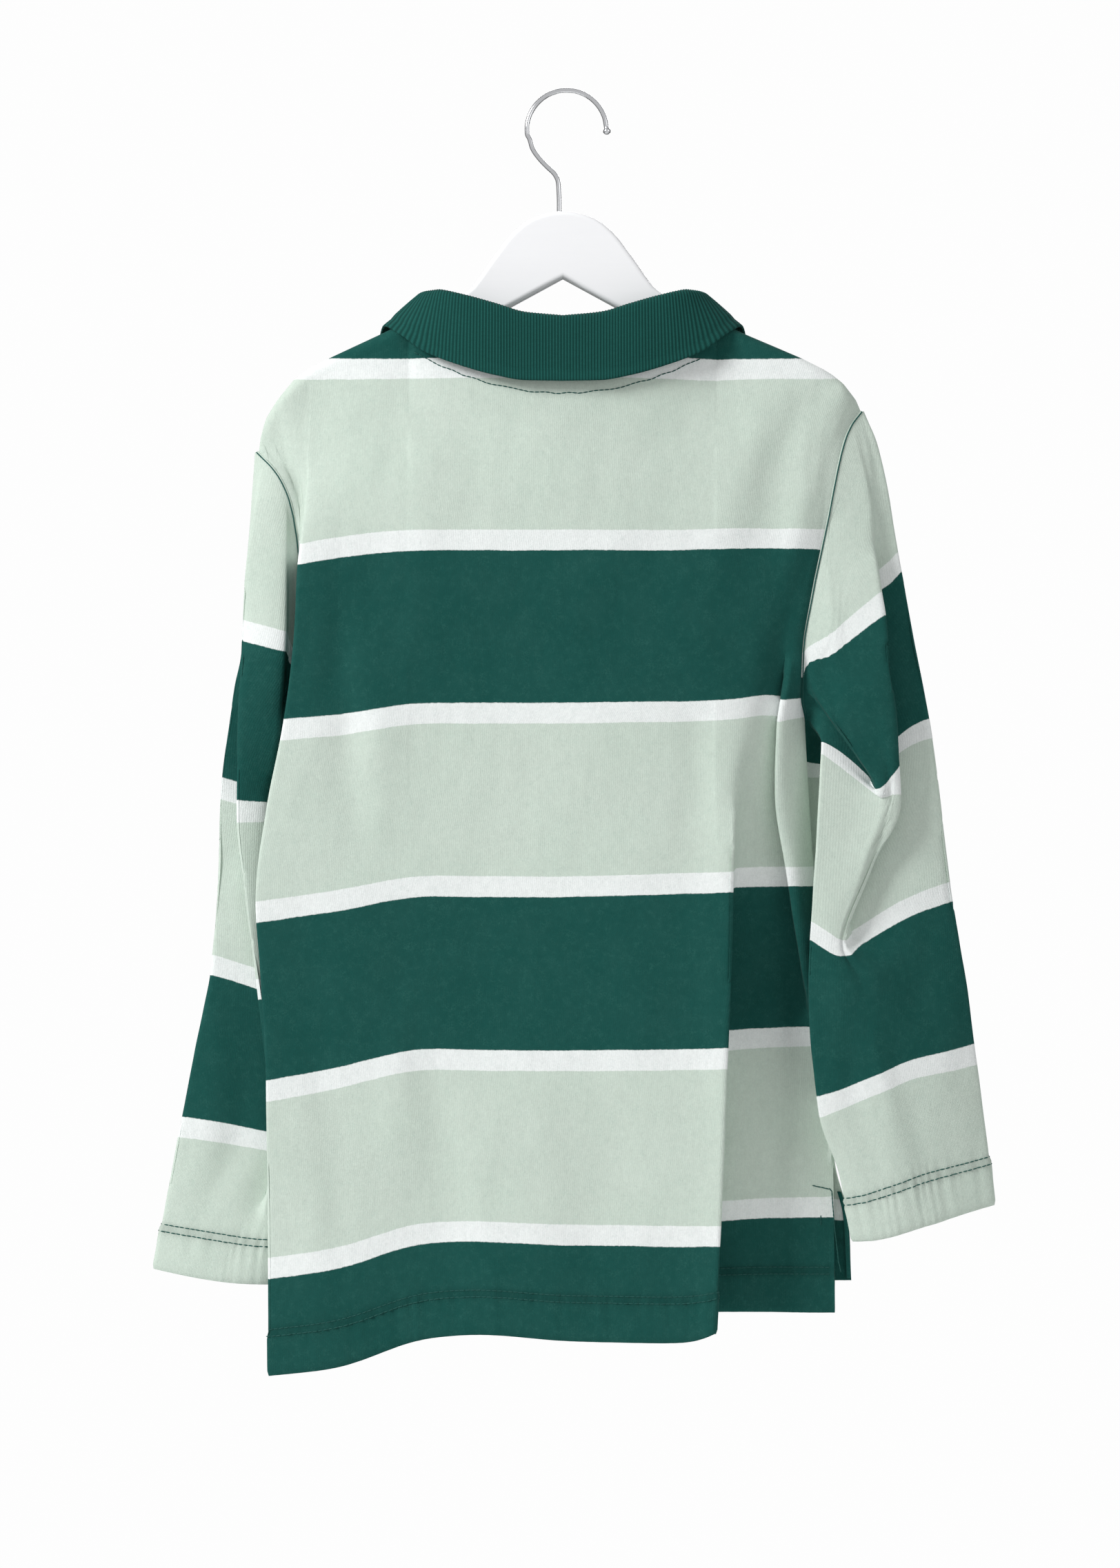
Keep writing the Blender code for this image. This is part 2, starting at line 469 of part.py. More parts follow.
def material(name, colour, roughness, metallic=0.0):
    made = bpy.data.materials.get(name) or bpy.data.materials.new(name)
    made.use_nodes = True
    shader = made.node_tree.nodes["Principled BSDF"]
    shader.inputs["Base Color"].default_value = (*COLOURS[colour], 1)
    shader.inputs["Roughness"].default_value = roughness
    shader.inputs["Metallic"].default_value = metallic
    return made


def cloth_materials():
    return [material("dark green jersey", "dark", 0.9), material("white jersey", "white", 0.85),
            material("pale green jersey", "pale", 0.87)]


def add_object(name, bm, materials, collection, recalculate=True):
    if recalculate:
        bmesh.ops.recalc_face_normals(bm, faces=bm.faces)
    mesh = bpy.data.meshes.new(name)
    bm.to_mesh(mesh)
    bm.free()
    for one in materials:
        mesh.materials.append(one)
    mesh.shade_smooth()
    mesh.set_sharp_from_angle(angle=math.radians(50))
    made = bpy.data.objects.new(name, mesh)
    collection.objects.link(made)
    return made


def give_wall(made, thickness=WALL, offset=0.0):
    wall = made.modifiers.new("wall", "SOLIDIFY")
    wall.thickness = thickness * MM
    wall.offset = offset
    wall.use_even_offset = False
    wall.use_quality_normals = True
    return wall


def sheet_grid(places, closed=False):
    # A grid mesh moved onto the places, which hold x, y, z and length for each row and column.
    rows, columns = places.shape[:2]
    bm = bmesh.new()
    across_count = columns if not closed else columns + 1
    bmesh.ops.create_grid(bm, x_segments=across_count - 1, y_segments=rows - 1, size=0.5)
    order = sorted(bm.verts, key=lambda v: (-round(v.co.y, 6), v.co.x))
    lengths = {}
    for index, vert in enumerate(order):
        row, column = divmod(index, across_count)
        x, y, z, length = places[row, column % columns]
        vert.co = (x * MM, y * MM, z * MM)
        lengths[vert] = length
    if closed:
        bmesh.ops.remove_doubles(bm, verts=bm.verts, dist=1e-7)
    return bm, lengths


def colour_stripes(bm, lengths, first_white):
    for face in bm.faces:
        known = [lengths[v] for v in face.verts if v in lengths]
        face.material_index = stripe_of(sum(known) / len(known), first_white)


UPPER_END = 248.7
TOP_ROWS = (0, 0.8, 3.5, 9)
UPPER_ROWS = (151.7, 163.2, 190, 226, 248.7)
BODY_ROWS = (260.2, 302, 345.7, 357.2, 400, 442.7, 454.2, 497, 539.7, 551.2, 594, 636.7, 648.2, 672)
BACK_NECK_COLUMNS = (88, 86.3, 83, 76, 65)
FRONT_NECK_COLUMNS = (88, 86.3, 84.6, 80.5, 74, 65, 53, 38, 19)


def neck_columns(lines, shares, side):
    # The columns nearest to the neckline's steep ends give way to ones placed along it.
    fine = np.linspace(0, 1, 801)
    x = panel_point(lines, fine, np.full(len(fine), 150.0))[:, 0]
    order = np.argsort(x)
    wanted = []
    for sign in (-1, 1):
        for across_neck in BACK_NECK_COLUMNS if side < 0 else FRONT_NECK_COLUMNS:
            wanted.append(np.interp(sign * across_neck, x[order], fine[order]))
    near = [min(abs(share - one) for one in wanted) < 0.02 for share in shares]
    kept = [share for share, drop in zip(shares, near) if not drop]
    return np.array(sorted(kept + wanted))


def panel_shape(lines, hem, side, step):
    shares = column_shares([place for name, place, table in lines], False, step)
    shares = neck_columns(lines, shares, side)
    top = panel_top(lines, shares, side)
    levels = [top + down for down in TOP_ROWS]
    for level in UPPER_ROWS:
        levels.append(np.maximum(level, levels[-1] + 1.4))
    levels += [np.full(len(shares), float(level)) for level in BODY_ROWS if level < hem - 6]
    levels += [np.full(len(shares), float(hem))]
    places = np.array([panel_places(lines, shares, level, top, side) for level in levels])
    return shares, places


def back_lines():
    return ([("left seam", 0.0, side_line(LEFT_ARMHOLE_BACK, LEFT_SIDE))] + list(BACK_FOLDS)
            + [("right seam", 1.0, side_line(RIGHT_ARMHOLE_BACK, RIGHT_SIDE))])


def front_lines():
    right = side_line(RIGHT_ARMHOLE_FRONT, front_side(RIGHT_VENT))
    left = side_line(LEFT_ARMHOLE_FRONT, front_side(LEFT_VENT))
    return [("right seam", 0.0, right)] + list(FRONT_FOLDS) + [("left seam", 1.0, left)]


def build_back(collection):
    shares, places = panel_shape(back_lines(), BACK_HEM, -1, 0.05)
    bm, lengths = sheet_grid(places)
    colour_stripes(bm, lengths, BODY_WHITE)
    give_wall(add_object("back", bm, cloth_materials(), collection))


def build_front(collection):
    lines = front_lines()
    shares, places = panel_shape(lines, FRONT_HEM, 1, 0.06)
    bm, lengths = sheet_grid(places)
    colour_stripes(bm, lengths, BODY_WHITE)
    give_wall(add_object("front", bm, cloth_materials(), collection))


def armhole_place(lines_by_side, side, level):
    # Places on the armhole's edge, with the way out of it towards the sleeve.
    table = np.array(lines_by_side[side], float)
    found = smooth_curve(table[:, 0], table[:, 1:], level)
    return np.column_stack([found[:, 0], found[:, 1], -(level + found[:, 2])])


SLEEVE_ROWS = (10, 32, 58, 84, 96, 126, 152, 182, 194, 218, 250, 280, 292, 330, 378, 390, 425, 460)


def sleeve_ring(folds, edges, share, length):
    # A ring of a sleeve at the given shares of the way round and lengths from the shoulder.
    rows = []
    for name, place, (side, level, start), table in folds:
        edge = armhole_place(edges, side, np.array([float(level)]))[0]
        first = (start, edge[0], edge[1], edge[2], 0.0)
        table = np.array((first,) + tuple(table), float)
        found = smooth_curve(table[:, 0], table[:, 1:], length)
        found[:, 3] = np.clip(found[:, 3], -1, 1)
        rows.append(np.column_stack([found, length]))
    spots = [place for name, place, start, table in folds]
    return across(spots, rows, share, closed=True)[:, [0, 1, 2, 4]]


def sleeve_shape(folds, edges, outward, step):
    spots = [place for name, place, start, table in folds]
    shares = column_shares(spots, True, step)
    # The armhole's own edge, all round: by the back to the top and home by the front.
    top = max(place for name, place, start, table in folds if start[0] == "back")
    found = {"back": [], "front": []}
    for name, place, start, table in folds:
        found[start[0]].append((place, start[1], start[2]))
    back_spots = found["back"]
    front_spots = [back_spots[-1]] + found["front"] + [(1.0, back_spots[0][1], back_spots[0][2])]
    back_spots, front_spots = np.array(back_spots), np.array(front_spots)
    wrapped = np.mod(shares, 1.0)
    on_back = wrapped <= top
    back = smooth_curve(back_spots[:, 0], back_spots[:, 1:], wrapped)
    front = smooth_curve(front_spots[:, 0], front_spots[:, 1:], wrapped)
    level, start = np.where(on_back[:, None], back, front).T
    edge = np.where(on_back[:, None], armhole_place(edges, "back", level),
                    armhole_place(edges, "front", level))
    low = np.clip((level - back_spots[0, 1] + 50) / 50, 0, 1)
    edge[:, 0] += outward * (SLEEVE_GAP + 0.9 * low)
    edge[:, 2] -= 0.5 * (1 - low)
    lengths = [start]
    for length in SLEEVE_ROWS:
        lengths.append(np.maximum(length, lengths[-1] + 4.0))
    lengths = [np.minimum(one, SLEEVE_LENGTH) for one in lengths]
    first = sleeve_ring(folds, edges, shares, start)
    moved = edge - first[:, :3]
    rings = []
    for length in lengths:
        ring = sleeve_ring(folds, edges, shares, length)
        along = length - start
        ring[:, :3] += moved * (np.clip(1 - along / 50, 0, 1) ** 2)[:, None]
        swell = np.clip(along / 8, 0, 1) * np.clip(1 - (along - 8) / 50, 0, 1) ** 2
        ring[:, 0] += outward * SLEEVE_SWELL * swell * np.clip(start / 20, 0, 1)
        rings.append(ring)
    return np.array(rings)


def build_sleeve(name, folds, edges, outward, collection):
    places = sleeve_shape(folds, edges, outward, 0.05)
    bm, lengths = sheet_grid(places, closed=True)
    lengths = {v: l for v, l in lengths.items() if v.is_valid}
    colour_stripes(bm, lengths, SLEEVE_WHITE)
    give_wall(add_object(name, bm, cloth_materials(), collection))


def neck_seam(turned):
    # The neck's edge by the angle from the middle of the back (0) to the middle of the front
    # (180 degrees).
    a = np.radians(turned)
    x = NECK_HALF_WIDTH * np.sin(a)
    side = np.where(turned < 90, -1, 1)
    y, z = np.zeros(len(x)), np.zeros(len(x))
    for one in (-1, 1):
        here = side == one
        y[here], z[here] = neck_place(x[here], one)
    lift = SEAM + 0.9 + COLLAR_LIFT * np.sin(a) ** 12
    return np.column_stack([x - COLLAR_INSET * np.sin(a) ** 4, y, z + lift])


# Where the collar's fold and its free edge run: angle, distance from the middle, depth, height.
COLLAR_FOLD = (
    (0, 0, -20.5, -129.5), (14, 21, -20.5, -127.5), (26, 38, -20, -122.5), (39, 55.5, -18.5, -117.5),
    (55, 70, -13, -114), (90, 79, 0, -114), (113, 79, 13, -128), (131, 66, 22, -148), (147, 46, 27, -168),
    (163, 24, 29.5, -186), (174, 8, 30.5, -199),
)
COLLAR_EDGE = (
    (0, 0, -25, -165.8), (14, 20.9, -25, -165.4), (26, 38, -24.2, -162.4), (39, 57, -22.5, -157),
    (55, 77, -19, -149), (72, 91, -12.5, -138.8), (90, 101, 0, -132.4), (105, 104, 14, -140),
    (120, 98, 27, -158), (140, 84, 34, -184), (160, 70, 37.5, -206), (174, 60, 38.5, -218),
)


def collar_loop(turned, ribbed):
    # Closed sections of the collar: up the stand's inside, over the fold, down the fall's
    # outside to its edge and home between the two. Ribs stand on the fall's outside only.
    seam = neck_seam(turned)
    fold_table, edge_table = np.array(COLLAR_FOLD), np.array(COLLAR_EDGE)
    fold = smooth_curve(fold_table[:, 0], fold_table[:, 1:], turned)
    edge = smooth_curve(edge_table[:, 0], edge_table[:, 1:], turned)
    outward = (edge - seam) * (1, 1, 0)
    outward /= np.linalg.norm(outward, axis=1, keepdims=True)
    up = np.array([[0, 0, 1.0]])
    down_fall = edge - fold
    down_fall /= np.linalg.norm(down_fall, axis=1, keepdims=True)
    fall_out = outward - down_fall * np.sum(outward * down_fall, axis=1, keepdims=True)
    fall_out /= np.linalg.norm(fall_out, axis=1, keepdims=True)
    up_stand = fold - seam
    up_stand /= np.linalg.norm(up_stand, axis=1, keepdims=True)
    stand_out = outward - up_stand * np.sum(outward * up_stand, axis=1, keepdims=True)
    stand_out /= np.linalg.norm(stand_out, axis=1, keepdims=True)
    between = down_fall - up_stand
    between /= np.linalg.norm(between, axis=1, keepdims=True)
    half = COLLAR_WALL / 2
    rib = (RIB_HEIGHT * ribbed)[:, None]
    return np.stack([
        seam - stand_out * half,
        fold - up_stand * 2.5 - stand_out * (half + 0.7),
        fold + up * half,
        fold + down_fall * 2.5 + fall_out * (half + 0.7 + rib),
        fold + (edge - fold) * 0.5 + fall_out * (half + 0.6 + rib),
        edge - down_fall * EDGE_BAND + fall_out * (half + rib),
        edge + fall_out * half,
        edge - fall_out * half,
        fold + (edge - fold) * 0.5 - fall_out * (half - 0.6),
        fold + between * 3.2,
        seam + stand_out * half,
    ], axis=1)


def build_collar(collection):
    front = 174.0
    quarter = np.linspace(0, 1, 2 * (RIBS // 2) + 1)
    turned = np.concatenate([-front * quarter[::-1], (front * quarter)[1:]])
    bump = np.where(np.arange(len(turned)) % 2 == 0, 1.0, 0.0)
    bump[:2] = 0
    bump[-2:] = 0
    loops = collar_loop(np.abs(turned), bump)
    loops[:, :, 0] *= np.sign(turned + 1e-9)[:, None]
    bm = bmesh.new()
    rings = [[bm.verts.new(tuple(point * MM)) for point in loop] for loop in loops]
    for one, following in zip(rings, rings[1:]):
        for k in range(len(one)):
            n = (k + 1) % len(one)
            bm.faces.new((one[k], one[n], following[n], following[k]))
    for ring in (rings[0], rings[-1]):
        # The end is closed in two strips, one across the stand and one across the fall.
        bm.faces.new((ring[0], ring[1], ring[9], ring[10]))
        bm.faces.new((ring[1], ring[2], ring[3], ring[9]))
        bm.faces.new((ring[3], ring[4], ring[8], ring[9]))
        bm.faces.new((ring[4], ring[5], ring[8]))
        bm.faces.new((ring[5], ring[6], ring[7], ring[8]))
    add_object("collar", bm, [material("dark green rib", "dark", 0.88)], collection)


def front_face(x, level):
    # Places on the front near its middle line, at distances from it and levels.
    share = np.interp(-x, [-50, 0, 50], [0.40, 0.50, 0.60])
    return panel_point(front_lines(), share, level)


def build_band(name, half_width, start, end, lift, thickness, collection):
    # A flat band along the neck's opening, on the front's face or behind it.
    columns = np.linspace(-half_width, half_width, 5)
    rows = []
    for level in np.linspace(start, end, 8):
        place = front_face(columns, np.full(len(columns), level))
        place[:, 1] += lift
        place[:, 0] = columns
        rows.append(place)
    bm, lengths = sheet_grid(np.array(rows))
    made = add_object(name, bm, [material("dark green placket", "dark", 0.85)], collection)
    give_wall(made, thickness)
    return made


def build_button(name, level, lift, collection):
    place = front_face(np.array([0.0]), np.array([float(level)]))[0]
    rim = ((0.0, 0.0), (BUTTON_RADIUS - 0.6, 0.0), (BUTTON_RADIUS, 0.7), (BUTTON_RADIUS, 1.9),
           (BUTTON_RADIUS - 0.6, BUTTON_THICK), (BUTTON_RADIUS - 2.0, BUTTON_THICK),
           (BUTTON_RADIUS - 2.6, BUTTON_THICK - 0.6), (0.0, BUTTON_THICK - 0.6))
    bm = bmesh.new()
    sides = 12
    rings = []
    for radius, out in rim:
        if radius == 0:
            rings.append([bm.verts.new((0, (place[1] + lift + out) * MM, place[2] * MM))])
            continue
        rings.append([bm.verts.new((radius * math.sin(2 * math.pi * k / sides) * MM,
                                    (place[1] + lift + out) * MM,
                                    (place[2] + radius * math.cos(2 * math.pi * k / sides)) * MM))
                      for k in range(sides)])
    for one, following in zip(rings, rings[1:]):
        for k in range(sides):
            n = (k + 1) % sides
            corners = [one[k % len(one)], one[n % len(one)], following[n % len(following)],
                       following[k % len(following)]]
            unique = []
            for corner in corners:
                if corner not in unique:
                    unique.append(corner)
            bm.faces.new(unique)
    add_object(name, bm, [material("white button", "button", 0.35)], collection)


def build_strip(name, lines, edge_share, inner_share, end, collection):
    # A narrow facing on the inside of a panel along a side vent.
    levels = np.linspace(VENT_TOP + 14, end - 1.5, 6)
    shares = np.linspace(edge_share, inner_share, 4)
    rows = []
    for level in levels:
        here = panel_point(lines, shares, np.full(len(shares), level))
        above = panel_point(lines, shares, np.full(len(shares), level - 2))
        beside = panel_point(lines, shares + 0.004, np.full(len(shares), level))
        normal = np.cross(beside[:, :3] - here[:, :3], above[:, :3] - here[:, :3])
        normal /= np.linalg.norm(normal, axis=1, keepdims=True)
        here[:, :3] -= normal * (WALL / 2 + SEAM + STRIP_WALL / 2 + 0.2)
        rows.append(here)
    bm, lengths = sheet_grid(np.array(rows))
    made = add_object(name, bm, [material("dark green facing", "dark", 0.85)], collection)
    give_wall(made, STRIP_WALL)


def build_hanger(collection):
    # The board's outline: the rise to the hook, the arm's top, its rounded end and underside.
    right = ((0, -67.7), (12, -69.5), (23, -75), (32.5, -84.5), (42, -97.5), (51, -110.2), (55, -113.5),
             (70, -123.2), (88, -133.3), (120, -149), (140, -159.2), (147.5, -164.2), (153.5, -169.4),
             (156.5, -175), (155.5, -181), (151, -184), (146, -182.5), (88, -152.5), (44, -129.3),
             (12, -108.5), (0, -104.5))
    outline = list(right) + [(-x, z) for x, z in right[-2:0:-1]]
    curve = bpy.data.curves.new("hanger_body", "CURVE")
    curve.dimensions = "2D"
    curve.fill_mode = "BOTH"
    spline = curve.splines.new("POLY")
    spline.points.add(len(outline) - 1)
    for point, (x, z) in zip(spline.points, outline):
        point.co = (x * MM, z * MM, 0, 1)
    spline.use_cyclic_u = True
    bevel = HANGER_BEVEL
    curve.extrude = (HANGER_THICK / 2 - bevel) * MM
    curve.bevel_depth = bevel * MM
    curve.bevel_resolution = 1
    curve.offset = -bevel * MM
    curve.materials.append(material("white paint", "paint", 0.35))
    made = bpy.data.objects.new("hanger_body", curve)
    made.rotation_euler = (math.radians(90), 0, 0)
    collection.objects.link(made)


def build_hook(collection):
    # The wire's middle: up from the board, out to one side, round over the crown to the ball.
    bend = ((-2.0, -62), (-2.2, -56), (-2.6, -50.5), (-4.5, -46.2), (-8.5, -42.3), (-13.5, -37),
            (-17.2, -31.5), (-19.3, -25))
    stem = [(-2.0, -67.3)] + list(bend)
    centre_x, centre_z = 2.2, -HOOK_RADIUS + HOOK_WIRE
    ring = []
    for k in range(15):
        angle = math.radians(188 - k * 13.2)
        ring.append((centre_x + HOOK_RADIUS * math.cos(angle), centre_z + HOOK_RADIUS * math.sin(angle)))
    path = stem + ring
    last, before = np.array(ring[-1]), np.array(ring[-2])
    way = (last - before) / np.linalg.norm(last - before)
    radii = [1.0] * len(path)
    for out, radius in ((0.5, 1.15), (1.0, 1.45), (1.8, 1.7), (2.6, 1.6), (3.3, 1.2), (3.7, 0.6)):
        path.append(tuple(last + way * out))
        radii.append(radius)
    curve = bpy.data.curves.new("hook", "CURVE")
    curve.dimensions = "3D"
    curve.bevel_depth = HOOK_WIRE * MM
    curve.bevel_resolution = 2
    curve.use_fill_caps = True
    spline = curve.splines.new("POLY")
    spline.points.add(len(path) - 1)
    for point, (x, z), radius in zip(spline.points, path, radii):
        point.co = (x * MM, 0, z * MM, 1)
        point.radius = radius
    curve.materials.append(material("bright metal", "chrome", 0.18, 1.0))
    made = bpy.data.objects.new("hook", curve)
    collection.objects.link(made)


def main():
    for old in list(bpy.data.objects):
        bpy.data.objects.remove(old)
    collection = bpy.data.collections.new("long-sleeve top on a hanger")
    bpy.context.scene.collection.children.link(collection)
    build_back(collection)
    build_front(collection)
    right_edges = {"back": side_line(RIGHT_ARMHOLE_BACK, RIGHT_SIDE[:2]),
                   "front": side_line(RIGHT_ARMHOLE_FRONT, front_side(RIGHT_SIDE[:2]))}
    left_edges = {"back": side_line(LEFT_ARMHOLE_BACK, LEFT_SIDE[:2]),
                  "front": side_line(LEFT_ARMHOLE_FRONT, front_side(LEFT_SIDE[:2]))}
    build_sleeve("sleeve_right", RIGHT_SLEEVE, right_edges, 1, collection)
    build_sleeve("sleeve_left", LEFT_SLEEVE, left_edges, -1, collection)
    build_collar(collection)
    end = 207 + BAND_LENGTH
    build_band("placket_under", BAND_WIDTH / 2 - 1, 212, end - 2, -BAND_LIFT - 0.8, BAND_WALL, collection)
    build_band("placket_over", BAND_WIDTH / 2, 212, end, BAND_LIFT, BAND_WALL, collection)
    for number, level in enumerate((226, 262, 298), 1):
        build_button("button_%d" % number, level, BAND_LIFT + BAND_WALL / 2 + SEAM, collection)
    back, front = back_lines(), front_lines()
    build_strip("vent_strip_back_right", back, 0.998, 0.982, BACK_HEM, collection)
    build_strip("vent_strip_front_right", front, 0.002, 0.015, FRONT_HEM, collection)
    build_strip("vent_strip_back_left", back, 0.003, 0.022, BACK_HEM, collection)
    build_strip("vent_strip_front_left", front, 0.997, 0.978, FRONT_HEM, collection)
    build_hanger(collection)
    build_hook(collection)


main()
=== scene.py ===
# A child's striped rugby shirt on a white hanger, hung with its back towards the camera.
# The cloth is made finer here on the fold lines of its solids. Lengths in the dictionaries
# and tables are in millimetres, and a mesh is in metres.

import bpy
import bmesh
import math
import numpy as np
from mathutils import Matrix, Vector, noise


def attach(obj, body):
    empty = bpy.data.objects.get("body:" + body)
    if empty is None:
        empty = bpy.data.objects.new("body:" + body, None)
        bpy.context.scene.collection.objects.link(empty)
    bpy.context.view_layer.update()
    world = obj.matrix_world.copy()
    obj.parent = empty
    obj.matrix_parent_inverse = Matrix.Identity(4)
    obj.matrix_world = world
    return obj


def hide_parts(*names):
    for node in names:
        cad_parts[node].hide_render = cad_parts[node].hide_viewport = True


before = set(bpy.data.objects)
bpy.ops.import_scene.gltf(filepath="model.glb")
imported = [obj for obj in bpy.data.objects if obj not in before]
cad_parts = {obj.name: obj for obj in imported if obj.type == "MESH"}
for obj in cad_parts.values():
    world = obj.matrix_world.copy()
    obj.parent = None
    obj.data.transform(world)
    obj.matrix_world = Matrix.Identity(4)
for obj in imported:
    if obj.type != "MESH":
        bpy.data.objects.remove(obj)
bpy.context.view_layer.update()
mm = 0.001
print("frame loaded, %d nodes" % len(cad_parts))

cloth = {
    "wall": 1.5, "seam": 0.3,
    "turnRoom": 2.3,          # half the room between the layers at a fold's edge
    "turnStep": 3.0,          # cloth that such an edge takes where it opens out flat
    "rimRound": 0.45,         # how far a cut or turned edge is rounded
    "columnStep": 2.55,       # columns of the mesh this far apart, and one more for each
    "columnTurn": 0.30,       # such turn, in radians
    "creaseDepth": 1.5, "seamFade": 26.0, "sideFade": 8.0,
    "tableStep": 1.3,         # the net that the folds are eased on, and how much
    "easing": 150,
    "fineShares": 1801,
    "bodyWidth": 385.0,       # one panel, side seam to side seam
    "sleeveGirth": 215.0,     # a sleeve all round, half way down
}

body = {
    "backHem": 701, "frontHem": 683, "ventTop": 618, "upperEnd": 248.7,
    "neckHalfWidth": 88, "neckTop": -130, "backNeckDrop": 32, "frontNeckDrop": 78,
    "backNeckDepth": 18, "frontNeckDepth": 22,
    "armClear": 7.8, "neckSpread": 0.55, "armTurn": 1.7, "shoulderGap": 0.6,
    "probe": 150.0,           # the level at which a column's place across is read
    "topRows": (0, 0.4, 0.8, 1.4, 2.2, 3.5, 5.2, 7, 9.5, 12.5),
    "rows": 226,
}

# Side seams and armholes. Columns: level down the cloth, distance from the middle, depth,
# how far the cloth hangs below its level, and how much it turns there (+1 where it goes on
# towards the front, -1 where it goes on towards the back).
rightSide = (
    (359, 136, 0, -4, 1), (365, 136.3, 0.2, -4, 1), (443, 141, 2, -5, 1), (520, 147, 2, -10, 1),
    (604, 152.2, 2.9, -12, 1), (612, 152.7, 3, -12, 0.5), (622, 153, 3, -12, 0), (701, 154, 3, -11, 0),
)
rightVent = (
    (359, 136, 0, -4, 1), (365, 136.3, 0.2, -4, 1), (443, 141, 2, -5, 1), (520, 147, 2, -10, 1),
    (604, 152.2, 2.9, -12, 1), (612, 152.7, 3, -12, 0.5), (622, 155, 6, -11, 0), (645, 162, 8.5, -9, 0),
    (683, 164, 10, -10, 0),
)
rightArmholeBack = (
    (180, 168, -1.4, 0, 0), (188, 162, -4, 0, 0), (197, 158, -6, 0, 0), (222, 152, -9, 0, 0),
    (244, 148, -10, -1, 0), (282, 140, -10, -1, 0), (321, 134, -9, -2, 0.3), (345, 133.5, -5, -3, 0.8),
)
rightArmholeFront = (
    (180, 168, 1.4, 0, 0), (188, 162, 5, 0, 0), (197, 158, 7, 0, 0), (222, 152, 9, 0, 0),
    (244, 148, 11, -1, 0), (282, 140, 12, -1, 0), (321, 134, 11, -2, 0.3), (345, 133.5, 6, -3, 0.8),
)
leftSide = (
    (366, -150, 3, 9, -1), (372, -149.9, 1.5, 9.2, -1), (400, -149, -4, 10, -1),
    (460, -148, -8, 12, -1), (560, -148, -10, 15, -1),
    (604, -148, -11, 16.5, -1), (620, -148, -11, 17, 0), (701, -150, -12, 18, 0),
)
leftVent = (
    (366, -150, 3, 9, -1), (372, -149.9, 1.5, 9.2, -1), (400, -149, -4, 10, -1), (460, -148, -8, 12, -1),
    (560, -148, -10, 15, -1), (604, -148, -11, 16.5, -1), (620, -146.8, -9.4, 17, 0),
    (701, -146, -9, 18, 0),
)
leftArmholeBack = (
    (203, -172, -1.4, 0, 0), (208, -166, -5, 1, 0), (213, -161.5, -7, 1, 0), (220, -156.5, -8, 2, 0),
    (231, -152, -7.5, 3, 0), (243, -149.5, -6, 4, 0), (255, -148, -4, 5, 0), (295, -147, -2, 7, -0.2),
    (338, -149, 0, 8, -0.7),
)
leftArmholeFront = (
    (203, -172, 1.4, 0, 0), (208, -166, 5, 1, 0), (213, -161.5, 7, 1, 0), (220, -156.5, 9, 2, 0),
    (231, -152, 10, 3, 0), (243, -149.5, 10, 4, 0), (255, -148, 10, 5, 0), (295, -147, 9, 7, -0.2),
    (338, -149, 7, 8, -0.7),
)

